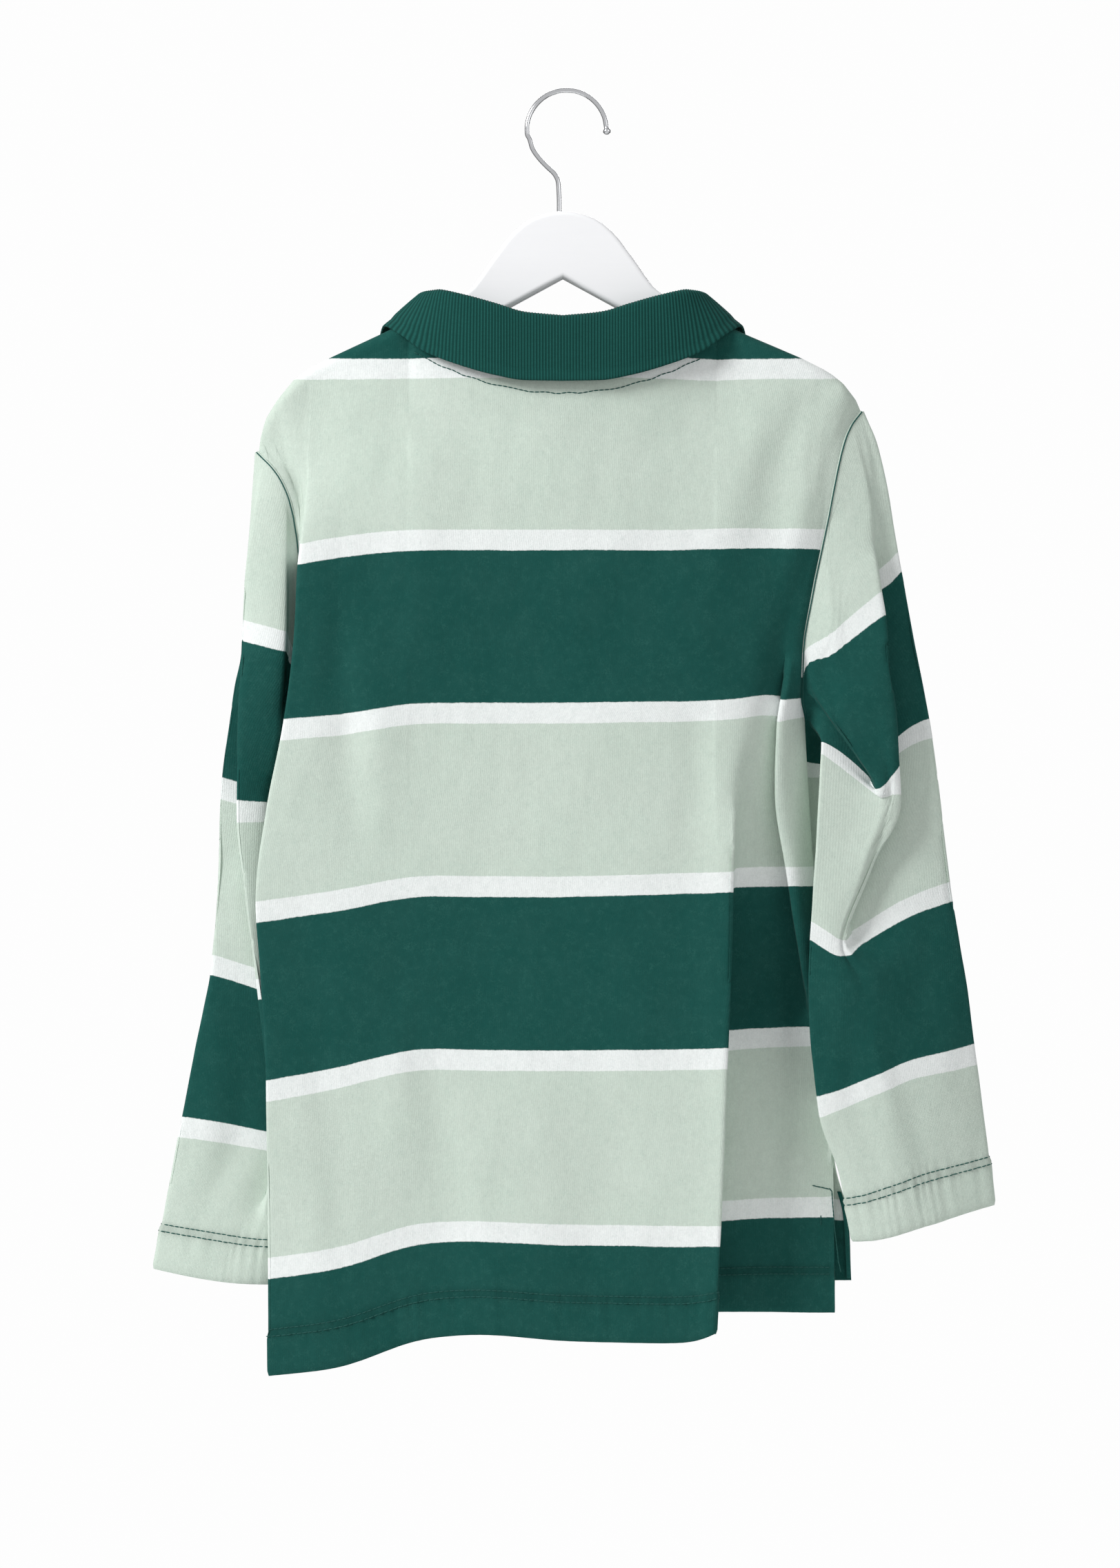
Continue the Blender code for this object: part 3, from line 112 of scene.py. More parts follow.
# The fold lines of the back between its side seams, from left to right. Each has its share
# of the width and a row for each level, with the columns of the seams above.
backFolds = (
    ("left shoulder", 0.05, (
        (150, -160, -8.5, 0, 0), (190, -160, -9, 0, 0), (205, -157, -9.5, 1, 0),
        (220, -151, -9.5, 3, 0), (235, -147, -10, 5, 0), (250, -148.5, -10, 6, 0),
        (300, -149, -9, 8, 0), (346, -152, -8.5, 9, 0), (395, -158, -12, 11, 0),
        (443, -160, -15, 13, 0), (540, -157, -16, 16, 0), (701, -157, -18, 19, 0))),
    ("left edge", 0.10, (
        (150, -143, -7, 0, 0), (203, -145, -10, 2, 0), (235, -143, -16, 6, -0.5),
        (250, -146, -18, 8, -1), (300, -149, -19, 8, -1), (346, -155, -20, 9, -1),
        (395, -165, -21, 12, -1), (443, -171, -22, 14, -1), (485, -168, -22, 15, -1),
        (540, -165, -23, 17, -1), (701, -164, -24, 20, -1))),
    ("left crease", 0.20, (
        (150, -118, -8, 0, 0), (250, -119, -20, 3, 0), (346, -120, -23, 6, 0), (443, -121, -25, 7, 0),
        (540, -122, -26, 9, 0), (701, -122, -28, 15, 0))),
    ("rise", 0.29, (
        (150, -84, -9, 0, 0), (250, -85, -20, 0, 0), (346, -84, -23, 0, 0), (540, -84, -24, -1, 0),
        (701, -83, -25, 0, 0))),
    ("left of middle", 0.39, (
        (150, -45, -15, 0, 0), (250, -45, -20, 0, 0), (540, -45, -25, 0, 0), (701, -45, -29, -4, 0))),
    ("middle", 0.50, (
        (150, 0, -18, 0, 0), (250, 0, -21, 0, 0), (540, 0, -26, 0, 0), (701, 0, -30, 0, 0))),
    ("right of middle", 0.68, (
        (150, 71, -10, 3, 0), (250, 71, -19, 0, 0), (346, 71, -22, -1, 0), (443, 71, -26, -2, 0),
        (540, 71, -30, -1, 0), (701, 72, -33, 1, 0))),
    ("deep fold", 0.75, (
        (150, 97, -8, 1, 0), (250, 97, -18, -1, 0), (346, 96, -20, -2, 0), (400, 96, -24, -3, 0.2),
        (443, 95, -27, -3, 0.6), (500, 93, -30, -3, 1), (540, 91, -31, -2, 1), (637, 87, -33, 0, 1),
        (701, 84, -34, -5, 1))),
    ("deep fold hollow", 0.81, (
        (150, 110, -8, 1, 0), (250, 110, -17, -1, 0), (346, 107, -18, -4, 0), (400, 100, -17, -4, 0.2),
        (443, 96, -15, -5, 0.6), (500, 88, -11, -8, 1), (540, 85, -9, -9, 1), (637, 80, -6, -10, 1),
        (701, 76, -5, -12, 1))),
    ("set back", 0.87, (
        (150, 124, -8, 0, 0), (250, 124, -16, -1, 0), (346, 116, -12, -5, 0), (400, 113, -8, -5, 0),
        (443, 112, -5, -5, 0), (540, 113, -2, -11, 0), (701, 114, 1, -12, 0))),
    ("side fold hollow", 0.91, (
        (150, 142, -8, 0, 0), (250, 137, -14, -1, 0), (320, 124, -10.5, -4, 0),
        (346, 126, -8, -3.5, -0.6), (360, 128, -5, -3, -1), (400, 128, -4, -4, -1),
        (443, 132, -3, -5, -1), (509, 138, -1, -9, -0.8), (550, 138, 0, -12, 0), (620, 138, 2, -12, 0),
        (701, 138, 3, -11, 0))),
    ("side fold", 0.95, (
        (150, 155, -7, 0, 0), (250, 143, -12, -1, 0), (320, 128.5, -13, -3, 0),
        (346, 123.5, -13.5, -2, -0.6), (360, 121, -13, -1, -1), (400, 120, -12, -2, -1),
        (443, 126, -10, -5, -1), (509, 136, -7, -9, -0.8), (550, 143, -2, -12, 0),
        (620, 146, 2, -12, 0), (701, 147, 3, -11, 0))),
    ("right shoulder", 0.975, (
        (150, 161, -8.5, 0, 0), (185, 159, -8.5, 0, 0), (200, 155, -9, 0, 0), (222, 149, -10, 0, 0),
        (250, 145, -11.5, -1, 0), (320, 132, -12, -2, 0), (360, 129, -12, -3, 0),
        (400, 130, -11, -3, 0), (443, 135, -9.5, -5, 0), (509, 142.5, -6, -9, 0),
        (550, 147.5, -2, -12, 0), (620, 150, 2.5, -12, 0), (701, 151, 3, -11, 0))),
)

# The same for the front, from right to left as the back is seen.
frontFolds = (
    ("right shoulder", 0.04, (
        (150, 161, 8.5, 0, 0), (185, 159, 8.5, 0, 0), (200, 155, 9, 0, 0), (222, 149, 10, 0, 0),
        (250, 143, 12.5, -1, 0), (320, 129.5, 13.5, -2, 0), (360, 132, 9, -3, 0), (443, 136, 8, -5, 0),
        (540, 141, 8, -9, 0), (618, 148, 9, -11, 0), (683, 154, 10, -10, 0))),
    ("right side", 0.08, (
        (150, 155, 7, 0, 0), (250, 138, 13, -1, 0), (320, 126, 15, -2, 0), (443, 130, 12, -5, 0),
        (540, 134, 12, -8, 0), (683, 142, 12, -10, 0))),
    ("right hollow", 0.19, (
        (150, 122, 8, 0, 0), (250, 118, 17, -1, 0), (346, 108, 19, -2, 0), (400, 100, 17, -3, 0.3),
        (460, 90, 11, -4, 1), (683, 84, 8, -6, 1))),
    ("right fold", 0.28, (
        (150, 103, 8, 1, 0), (250, 100, 18, 0, 0), (346, 98, 22, -1, 0), (400, 97, 26, -2, 0.3),
        (460, 95, 30, -3, 1), (683, 98, 34, -4, 1))),
    ("right of middle", 0.40, (
        (150, 50, 17, 0, 0), (250, 50, 21, 0, 0), (450, 52, 26, 0, 0), (683, 52, 30, 2, 0))),
    ("middle", 0.50, (
        (150, 0, 22, 0, 0), (250, 0, 23, 0, 0), (450, 0, 26, 0, 0), (683, 0, 29, 0, 0))),
    ("left of middle", 0.60, (
        (150, -50, 17, 0, 0), (250, -52, 21, 0, 0), (450, -56, 25, 2, 0), (683, -58, 29, 0, 0))),
    ("left fold", 0.74, (
        (150, -103, 8, 0, 0), (250, -102, 17, 1, 0), (346, -104, 20, 4, 0), (400, -107, 23, 5, -0.3),
        (460, -110, 27, 6, -1), (683, -110, 30, 8, -1))),
    ("left hollow", 0.82, (
        (150, -118, 8, 0, 0), (250, -117, 15, 2, 0), (346, -114, 16, 5, 0), (400, -110, 15, 6, -0.3),
        (460, -104, 9, 7, -1), (683, -98, 8, 10, -1))),
    ("left side", 0.92, (
        (150, -143, 7, 0, 0), (250, -135, 13, 4, 0), (320, -133, 13, 6, 0), (443, -134, 7, 9, 0),
        (560, -132, 5, 12, 0), (683, -130, 5, 14, 0))),
    ("left shoulder", 0.96, (
        (150, -160, 8.5, 0, 0), (190, -160, 9, 0, 0), (205, -157, 9.5, 1, 0), (220, -151, 10, 3, 0),
        (250, -143, 12, 5, 0), (320, -140, 12, 7, 0), (366, -143, 9, 9, 0), (443, -142, 3, 11, 0),
        (560, -141, 1, 13, 0), (683, -141, 0, 15, 0))),
)

# The fold lines of the sleeves, all round from the underarm by the back to the outer edge and
# home by the front. Each has its share of the way round, the side, level and length of the
# armhole where it starts, and a row for each length down the sleeve from the shoulder.
# Columns: length, distance from the middle, depth, height, and how much the cloth turns.
rightSleeve = (
    ("inner edge", 0.00, ("back", 359, 120), (
        (182, 146, -9, -368, -1), (232, 143, -16, -421, -1), (280, 139.5, -18, -470, -1),
        (310, 138, -18, -496, -1), (384, 144, -17, -575, -1), (420, 155, -14, -609, -1),
        (460, 164, -10, -648, -1))),
    ("underarm fold", 0.07, ("back", 352, 113), (
        (150, 149, -9, -350, 0), (182, 159, -12, -373, 0), (232, 153, -18, -428, 0),
        (280, 146, -21, -474, 0), (310, 147, -21, -503, 0), (384, 152, -21, -572, 0),
        (460, 171, -15, -648, 0))),
    ("flap hollow", 0.13, ("back", 343, 106), (
        (140, 164, -10, -352, -0.8), (182, 174, -11, -390, -0.6), (200, 172, -14, -400, 0),
        (232, 161, -18, -432, 0), (280, 150, -21, -477, 0), (310, 153, -22, -506, 0),
        (384, 160, -22, -569, 0), (460, 178, -17, -647, 0))),
    ("flap edge", 0.19, ("back", 336, 98), (
        (140, 157, -16, -365, -1), (182, 177, -16, -394, -0.6), (200, 179, -15, -404, 0),
        (232, 167, -18, -434, 0), (280, 153, -21, -479, 0), (310, 160, -22, -506, 0),
        (384, 168, -22, -565, 0), (460, 185, -18, -645, 0))),
    ("flap", 0.27, ("back", 258, 42), (
        (96, 157, -17, -314, 0), (140, 171, -19, -351, 0), (182, 185, -17, -389, 0),
        (200, 185, -16, -402, 0), (232, 171, -17, -435, 0), (280, 155, -20, -480, 0),
        (310, 168, -20, -503, 0), (384, 179, -21, -561, 0), (460, 192, -18, -643, 0))),
    ("flap crest", 0.36, ("back", 190, 4), (
        (40, 172, -7, -234, 0), (60, 175, -10, -257, 0.4), (84, 178, -12, -283, 0.8),
        (96, 180, -13, -297, 1), (140, 185, -14, -340, 1), (182, 188, -13, -382, 1),
        (194, 189, -12, -399, 1), (232, 174, -14, -436, 1), (280, 158, -18, -480, 0.6),
        (310, 177, -18, -499, 0), (384, 190, -19, -556, 0), (460, 201, -16, -640, 0))),
    ("crest hollow", 0.42, ("back", 185, 2), (
        (40, 174, -4.5, -232, 0), (60, 175, -5.5, -253, 0.3), (84, 169, -6, -276, 0.8),
        (96, 167, -6, -287, 1), (140, 174, -7, -334, 1), (182, 180, -6, -374, 1),
        (194, 178, -5, -385, 1), (232, 158, -7, -425, 1), (280, 161, -11, -477, 0.6),
        (310, 182, -15, -495, 0), (384, 200, -17, -553, 0), (460, 210, -15, -638, 0))),
    ("outer part", 0.49, ("back", 182, 1), (
        (42, 177, -2, -222, 0), (84, 181, -1, -269, 0), (140, 190, -1, -324, 0),
        (188, 196, -1, -364, 0), (232, 189, -3, -410, 0), (286, 193, -8, -462, 0),
        (384, 214, -10, -551, 0), (460, 226, -9, -633, 0))),
    ("outer edge", 0.56, ("back", 180, 0), (
        (23, 177, 1, -201, 0.6), (42, 182, 2, -220, 1), (84, 189, 3, -260, 1), (188, 208, 3, -361, 1),
        (286, 220, 2, -454, 1), (384, 233, 0, -547, 1), (460, 243, -1, -629, 1))),
    ("front outer part", 0.66, ("front", 222, 20), (
        (96, 172, 12, -300, 0), (188, 182, 15, -370, 0), (286, 192, 13, -466, 0),
        (384, 208, 9, -556, 0), (460, 221, 6, -636, 0))),
    ("front crest", 0.78, ("front", 290, 66), (
        (110, 143, 18, -325, 0), (150, 138, 23, -350, -0.6), (188, 128, 25, -383, -1),
        (286, 130, 24, -480, -1), (384, 172, 11, -568, 0), (460, 198, 6, -642, 0))),
    ("front inner part", 0.90, ("front", 336, 100), (
        (150, 149, 12, -366, 0), (188, 151, 9, -384, 0), (232, 152.5, 5, -425, 0),
        (286, 154, 3, -480, 0), (384, 158, 0, -574, 0), (460, 178, 1, -646, 0))),
)
leftSleeve = (
    ("inner edge", 0.00, ("back", 366, 120), (
        (138, -158, 4, -380, -0.3), (182, -157, 7, -402, -1), (286, -156, 7, -507, -1),
        (384, -151, 4, -596, -1), (460, -149, 2, -673, -1))),
    ("inner part", 0.06, ("back", 330, 96), (
        (110, -157.5, -1, -347, 0), (140, -163, -1, -370, 0), (188, -163, 0, -408, 0),
        (286, -159, 0, -510, 0), (384, -152, -2, -597, 0), (460, -151, -4, -673, 0))),
    ("near edge", 0.14, ("back", 231, 20), (
        (50, -155, -10, -272, -0.7), (90, -156, -11, -311, -1), (140, -160, -7, -361, -0.6),
        (188, -167, -4, -408, 0), (286, -161, -6, -510, 0), (325, -157, -6.5, -545, 0),
        (384, -154, -6, -597, 0), (460, -156, -7, -673, 0))),
    ("near part", 0.22, ("back", 216, 8), (
        (90, -167, -15, -309, 0), (188, -175, -8, -408, 0), (286, -166, -8, -510, 0),
        (325, -162, -9, -545, 0), (384, -158, -8, -597, 0), (460, -164, -8, -673, 0))),
    ("near crest", 0.30, ("back", 208, 2), (
        (50, -176, -9, -260, 0), (90, -180, -9, -305, 0.5), (140, -182, -7, -350, 1),
        (188, -183, -6, -408, 1), (235, -178, -6, -454, 1), (286, -171, -7, -509, 1),
        (325, -167, -7.5, -545, 1), (384, -164, -7, -597, 0.5), (460, -176, -9, -673, 0))),
    ("near hollow", 0.37, ("back", 205, 1), (
        (50, -176, -5, -259, 0), (90, -178, -4, -303, 0.5), (140, -174, -1, -347, 1),
        (188, -170, 0, -401, 1), (235, -169, 0, -449, 1), (286, -163, -1, -507, 1),
        (325, -160, -1, -544, 1), (384, -161, -2, -597, 0.5), (460, -190, -9, -672, 0))),
    ("outer part", 0.44, ("back", 204, 0), (
        (50, -177, -1, -258, 0), (90, -180, 0, -301, 0), (140, -183, 3, -343, 0),
        (188, -184, 4, -398, 0), (286, -186, 3, -499, 0), (384, -197, -3, -590, 0),
        (460, -211, -7, -669, 0))),
    ("outer edge", 0.52, ("back", 203, 0), (
        (50, -177.5, 4, -258, 0.6), (90, -180.5, 5, -300, 1), (140, -186.5, 7, -341, 1),
        (188, -193.5, 8, -395, 1), (235, -195.5, 8, -443, 1), (286, -198, 8, -496, 1),
        (335, -207, 5, -540, 1), (384, -216.5, 1, -588, 1), (460, -230, -1, -665, 1))),
    ("front outer part", 0.64, ("front", 222, 14), (
        (90, -172, 15, -303, 0), (188, -176, 20, -403, 0), (286, -182, 19, -503, 0),
        (384, -198, 9, -592, 0), (460, -210, 6, -671, 0))),
    ("front crest", 0.78, ("front", 275, 60), (
        (110, -148, 19, -335, 0), (150, -142, 23, -368, -0.6), (188, -130, 25, -408, -1),
        (286, -130, 24, -510, -1), (335, -142, 21, -553, -1), (384, -158, 13, -597, -0.3),
        (460, -185, 5, -673, 0))),
    ("front inner part", 0.90, ("front", 335, 98), (
        (112, -156, 11, -349, 0), (150, -158, 13, -386, 0), (188, -157, 14, -408, 0),
        (286, -155, 14, -509, 0), (384, -152, 9, -597, 0), (460, -165, 3, -673, 0))),
)

sleeve = {"length": 460, "gap": 1.5, "swell": 1.0, "rows": 200, "capEase": 15}


def smoothCurve(knots, values, at):   # through the values at the knots, never past them
    knots = np.asarray(knots, float)
    values = np.asarray(values, float)
    at = np.asarray(at, float)
    gap = np.diff(knots).reshape((-1,) + (1,) * (values.ndim - 1))
    slope = np.diff(values, axis=0) / gap
    before, after = slope[:-1], slope[1:]
    sameWay = before * after > 0
    weightA = 2 * gap[1:] + gap[:-1]
    weightB = gap[1:] + 2 * gap[:-1]
    mean = (weightA + weightB) / (weightA / np.where(sameWay, before, 1.0)
                                  + weightB / np.where(sameWay, after, 1.0))
    tangent = np.concatenate([slope[:1], np.where(sameWay, mean, 0.0), slope[-1:]])
    inside = np.clip(at, knots[0], knots[-1])
    k = np.clip(np.searchsorted(knots, inside, side="right") - 1, 0, len(knots) - 2)
    width = knots[k + 1] - knots[k]
    t = (inside - knots[k]) / width
    column = np.arange(len(at))
    if values.ndim < 3:
        p0, p1, m0, m1 = values[k], values[k + 1], tangent[k], tangent[k + 1]
    else:
        p0, p1, m0, m1 = [table[row, column] for table, row in
                          ((values, k), (values, k + 1), (tangent, k), (tangent, k + 1))]
    if values.ndim > 1:
        t, width = t[:, None], width[:, None]
    return ((2 * t**3 - 3 * t**2 + 1) * p0 + (t**3 - 2 * t**2 + t) * width * m0
            + (3 * t**2 - 2 * t**3) * p1 + (t**3 - t**2) * width * m1)


def acrossFolds(shares, rows, share, closed=False):   # a line where the cloth turns is doubled
    count = len(shares)
    outShares, outRows = [], []
    for i in range(count):
        here = rows[i]
        last = rows[(i - 1) % count] if closed or i > 0 else here
        following = rows[(i + 1) % count] if closed or i < count - 1 else here
        turn = np.abs(here[:, 3:4])
        way = following[:, :3] - last[:, :3]
        length = np.maximum(np.linalg.norm(way, axis=1, keepdims=True), 1e-6)
        apart = [np.linalg.norm(here[:, :3] - beside[:, :3], axis=1, keepdims=True)
                 for beside in (last, following) if beside is not here]
        step = np.minimum(cloth["turnStep"], 0.44 * np.min(apart, axis=0))
        room = (1 - turn) * way / length * step / 2
        room[:, 1:2] += turn * np.sign(here[:, 3:4]) * cloth["turnRoom"]
        part = 0.22 * min(foldGaps(shares, i, closed))
        steps = [-1, 1]
        if not closed and i == 0:
            steps = [0, 2]
        if not closed and i == count - 1:
            steps = [-2, 0]
        for k in steps:
            moved = here.copy()
            moved[:, :3] += k * room
            outShares.append(shares[i] + k * part)
            outRows.append(moved)
    table = np.array(outRows)
    spots = np.array(outShares)
    if closed:
        spots = np.concatenate([spots[-3:] - 1, spots, spots[:3] + 1])
        table = np.concatenate([table[-3:], table, table[:3]])
    return smoothCurve(spots, table, share)


def foldGaps(shares, i, closed):   # shares of the width before and after a fold line
    count = len(shares)
    before = (shares[i] - shares[i - 1]) % 1.0 if closed or i > 0 else 1.0
    after = (shares[(i + 1) % count] - shares[i]) % 1.0 if closed or i < count - 1 else 1.0
    return before, after


def frontSide(side):   # the front's side edge starts where the back's ends, across the seam
    return tuple((level, x, y + 1.5 * cloth["seam"], hang, turn) for level, x, y, hang, turn in side)


def foldedPoint(lines, share, level):   # x, y, z on a body panel at shares of its width and levels
    rows = []
    for name, place, table in lines:
        table = np.array(table, float)
        found = smoothCurve(table[:, 0], table[:, 1:], level)
        rows.append(np.column_stack([found[:, 0], found[:, 1], -(level + found[:, 2]),
                                     np.clip(found[:, 3], -1, 1)]))
    return acrossFolds([place for name, place, table in lines], rows, share)[:, :3]


def shoulderHeight(x):   # the shoulders and neck over the hanger, from the left tip to the right
    line = np.array(((-172, -203), (-171, -196), (-168, -185), (-162, -175), (-152, -163),
                     (-143, -156), (-129, -149.5), (-101, -136.5), (-88, -130), (88, -130),
                     (101, -136.5), (134, -150.5), (150, -158.5), (158, -165), (165, -173.5),
                     (168, -180)), float)
    return np.interp(x, line[:, 0], line[:, 1])


def neckPlace(x, side):   # the neck's edge goes round the hanger's arm and then dips
    x = np.abs(np.asarray(x, float))
    depth = body["backNeckDepth"] if side < 0 else body["frontNeckDepth"]
    drop = body["backNeckDrop"] if side < 0 else body["frontNeckDrop"]
    roundArm = np.clip((body["neckHalfWidth"] - x) / body["armTurn"], 0, 1)
    oval = np.sqrt(np.clip(1 - (x / (body["neckHalfWidth"] - body["armTurn"])) ** 2, 0, 1))
    dip = oval if side < 0 else oval ** 1.4
    y = side * (body["armClear"] * roundArm + (depth - body["armClear"]) * oval)
    return y, body["neckTop"] - roundArm - (drop - 1) * dip


def panelEnds(net, share, side):   # the straight edge that an armhole bends off, and its top
    ends = np.array([float(share)])
    topHere = float(panelTop(net, ends, side)[0])
    xTop = float(easedPlace(net, ends, np.array([body["probe"]]))[0, 0])
    xLow = float(easedPlace(net, ends, np.array([body["upperEnd"]]))[0, 0])
    return share, topHere, xTop, xLow


def panelEndShift(net, end, level):   # how far an armhole bends off a straight edge
    share, topHere, xTop, xLow = end
    inside = np.maximum(level, topHere)
    down = (inside - topHere) / (body["upperEnd"] - topHere)
    ends = np.full(len(level), float(share))
    return easedPlace(net, ends, inside)[:, 0] - (xTop + (xLow - xTop) * down)


def panelTop(net, share, side):   # the level of a panel's top edge
    x = easedPlace(net, share, np.full(len(share), body["probe"]))[:, 0]
    edge = np.where(np.abs(x) < body["neckHalfWidth"], neckPlace(x, side)[1], shoulderHeight(x))
    return -edge + cloth["seam"]


def panelPlaces(net, share, level, top, side, xTop, xLow, ends):   # over the arms it rounds down
    place = easedPlace(net, share, level)
    if np.min(level) < body["upperEnd"]:
        down = (level - top) / (body["upperEnd"] - top)
        straight = xTop + (xLow - xTop) * down
        straight += panelEndShift(net, ends[0], level) * np.clip(1 - share / 0.15, 0, 1)
        straight += panelEndShift(net, ends[1], level) * np.clip(1 - (1 - share) / 0.15, 0, 1)
        place[:, 0] = np.where(level < body["upperEnd"], straight, place[:, 0])
    hang = -place[:, 2] - level
    kept = np.maximum(np.clip((level - top) / 50, 0, 1), np.clip((np.abs(xTop) - 140) / 15, 0, 1))
    place[:, 2] = -level - hang * kept
    besideNeck = 1 - np.clip((body["neckHalfWidth"] - np.abs(xTop)) / body["armTurn"], 0, 1)
    rounded = (1 - (1 - np.clip((level - top) / 8.0, 0, 1)) ** 3) ** 0.4
    seamY = side * (body["shoulderGap"] + 0.8 * np.clip((np.abs(xTop) - 145) / 15, 0, 1))
    place[:, 1] += besideNeck * (1 - rounded) * (seamY - place[:, 1])
    spread = np.maximum(level - top - 3, 0) * body["neckSpread"]   # the turn widens as it goes down
    within = np.clip((body["neckHalfWidth"] + spread - np.abs(xTop)) / (body["armTurn"] + 2 * spread), 0, 1)
    atNeck = within * within * (3 - 2 * within) * np.clip(1 - (level - top) / 60, 0, 1)
    inner = body["neckHalfWidth"] - body["armTurn"]
    place[:, 1] += atNeck * (neckPlace(np.clip(xTop, -inner, inner), side)[0] - place[:, 1])
    return place


def evenShares(found, closed, apart):   # columns evenly apart on the cloth, and closer where it turns
    fine = np.linspace(0, 1, found.shape[1])
    step = np.diff(found, axis=1)
    length = np.linalg.norm(step, axis=2)
    ahead = unit(step + 1e-9)
    turn = np.arccos(np.clip(np.sum(ahead[:, 1:] * ahead[:, :-1], axis=2), -1, 1))
    need = np.mean(length, axis=0) / apart
    need[1:] += np.minimum(np.mean(turn, axis=0) / cloth["columnTurn"], 0.5)
    total = np.concatenate([[0], np.cumsum(need)])
    count = int(math.ceil(total[-1]))
    shares = np.interp(np.linspace(0, total[-1], count + 1), total, fine)
    return shares[:-1] if closed else shares


def shifted(table, by, closed):   # the table's columns moved along by some
    if closed:
        return np.roll(table, by, axis=1)
    at = np.clip(np.arange(table.shape[1]) - by, 0, table.shape[1] - 1)
    return table[:, at]


def easeKinks(points, closed, below):   # soft where fold lines meet, crisp where the cloth turns
    ahead = unit(shifted(points, -5, closed) - points + 1e-9)
    behind = unit(points - shifted(points, 5, closed) + 1e-9)
    turned = np.degrees(np.arccos(np.clip(np.sum(ahead * behind, axis=2), -1, 1)))
    share = np.clip((58 - turned) / 22, 0, 1)
    for k in range(1, 7):
        nearby = np.minimum(shifted(share, k, closed), shifted(share, -k, closed))
        share = np.minimum(share, nearby + 0.15 * k)
    share *= np.clip(below / 30 - 0.3, 0, 1)
    if not closed:
        share[:, :2] = 0
        share[:, -2:] = 0
    eased = points.copy()
    for k in range(cloth["easing"]):
        middle = (shifted(eased, 1, closed) + shifted(eased, -1, closed)) / 2
        eased += (middle - eased) * (0.5 * share)[..., None]
    return eased


def easedNet(placesAt, marks, closed, topAt):   # the folded surface on an even net, its kinks eased
    fine = np.linspace(0, 1, cloth["fineShares"])
    some = [placesAt(fine, np.full(len(fine), mark))
            for mark in marks[len(marks) // 4::len(marks) // 10]]
    shares = evenShares(np.array(some), closed, cloth["tableStep"])
    rows = np.array([placesAt(shares, np.full(len(shares), mark)) for mark in marks])
    below = marks[:, None] - topAt(shares)[None, :]
    return {"shares": shares, "marks": marks, "rows": easeKinks(rows, closed, below), "closed": closed}


def easedPlace(net, share, mark):   # places read from such a net
    rows, marks = net["rows"], net["marks"]
    count = rows.shape[1]
    share = np.asarray(share, float)
    if net["closed"]:
        wrapped = np.mod(share, 1.0)
        column = np.interp(wrapped, np.append(net["shares"], 1.0), np.arange(count + 1))
    else:
        column = np.interp(share, net["shares"], np.arange(count))
    row = np.clip((np.asarray(mark, float) - marks[0]) / (marks[1] - marks[0]), 0, len(marks) - 1.001)
    left, top = np.floor(column).astype(int), np.floor(row).astype(int)
    s, t = (column - left)[:, None], (row - top)[:, None]
    right = (left + 1) % count if net["closed"] else np.minimum(left + 1, count - 1)
    left = left % count
    found = 0
    for k, weight in ((-1, -0.5 * t + t**2 - 0.5 * t**3), (0, 1 - 2.5 * t**2 + 1.5 * t**3),
                      (1, 0.5 * t + 2 * t**2 - 1.5 * t**3), (2, -0.5 * t**2 + 0.5 * t**3)):
        line = np.clip(top + k, 0, len(marks) - 1)
        found = found + weight * (rows[line, left] * (1 - s) + rows[line, right] * s)
    return found


def arcAcross(points, closed, width):   # how far across its cloth each place is, row by row
    ring = np.concatenate([points, points[:, :1]], axis=1) if closed else points
    step = np.linalg.norm(np.diff(ring, axis=1), axis=2)
    along = np.concatenate([np.zeros((len(points), 1)), np.cumsum(step, axis=1)], axis=1)
    along = along / along[:, -1:] * width
    return along[:, :-1] if closed else along


def alongLine(places):   # how far along a line each of its places is
    return np.concatenate([[0], np.cumsum(np.linalg.norm(np.diff(places, axis=0), axis=1))])


def unit(way):
    return way / np.maximum(np.linalg.norm(way, axis=-1, keepdims=True), 1e-12)


def neckColumns(net, shares):   # more columns where the neckline is steep
    fine = np.linspace(0, 1, 1601)
    x = easedPlace(net, fine, np.full(len(fine), body["probe"]))[:, 0]
    order = np.argsort(x)
    wanted = []
    for sign in (-1, 1):
        for offset in (88, 87.4, 86.8, 86.2, 85.6, 84.8, 83.9, 82.7):
            wanted.append(np.interp(sign * offset, x[order], fine[order]))
    kept = [one for one in shares if min(abs(one - other) for other in wanted) > 0.0022]
    return np.array(sorted(kept + wanted))


def panelGrid(net, hem, side):   # places, with cloth coordinates, for a whole panel
    fine = np.linspace(0, 1, cloth["fineShares"])
    found = [easedPlace(net, fine, np.full(len(fine), level)) for level in np.linspace(262, hem, 9)]
    shares = neckColumns(net, evenShares(np.array(found), False, cloth["columnStep"]))
    top = panelTop(net, shares, side)
    levels = [top + down for down in body["topRows"]]
    first = levels[-1]
    count = body["rows"] - len(levels)
    levels += [first + (hem - first) * (k + 1) / count for k in range(count)]
    xTop = easedPlace(net, shares, np.full(len(shares), body["probe"]))[:, 0]
    xLow = easedPlace(net, shares, np.full(len(shares), body["upperEnd"]))[:, 0]
    ends = [panelEnds(net, share, side) for share in (0.0, 1.0)]
    points = np.array([panelPlaces(net, shares, level, top, side, xTop, xLow, ends) for level in levels])
    cut = np.stack([arcAcross(points, False, cloth["bodyWidth"]), np.array(levels)], axis=2)
    return {"points": points, "cut": cut, "closed": False, "hem": hem, "top": top}


def backLines():
    return ([("left seam", 0.0, leftArmholeBack + leftSide)] + list(backFolds)
            + [("right seam", 1.0, rightArmholeBack + rightSide)])


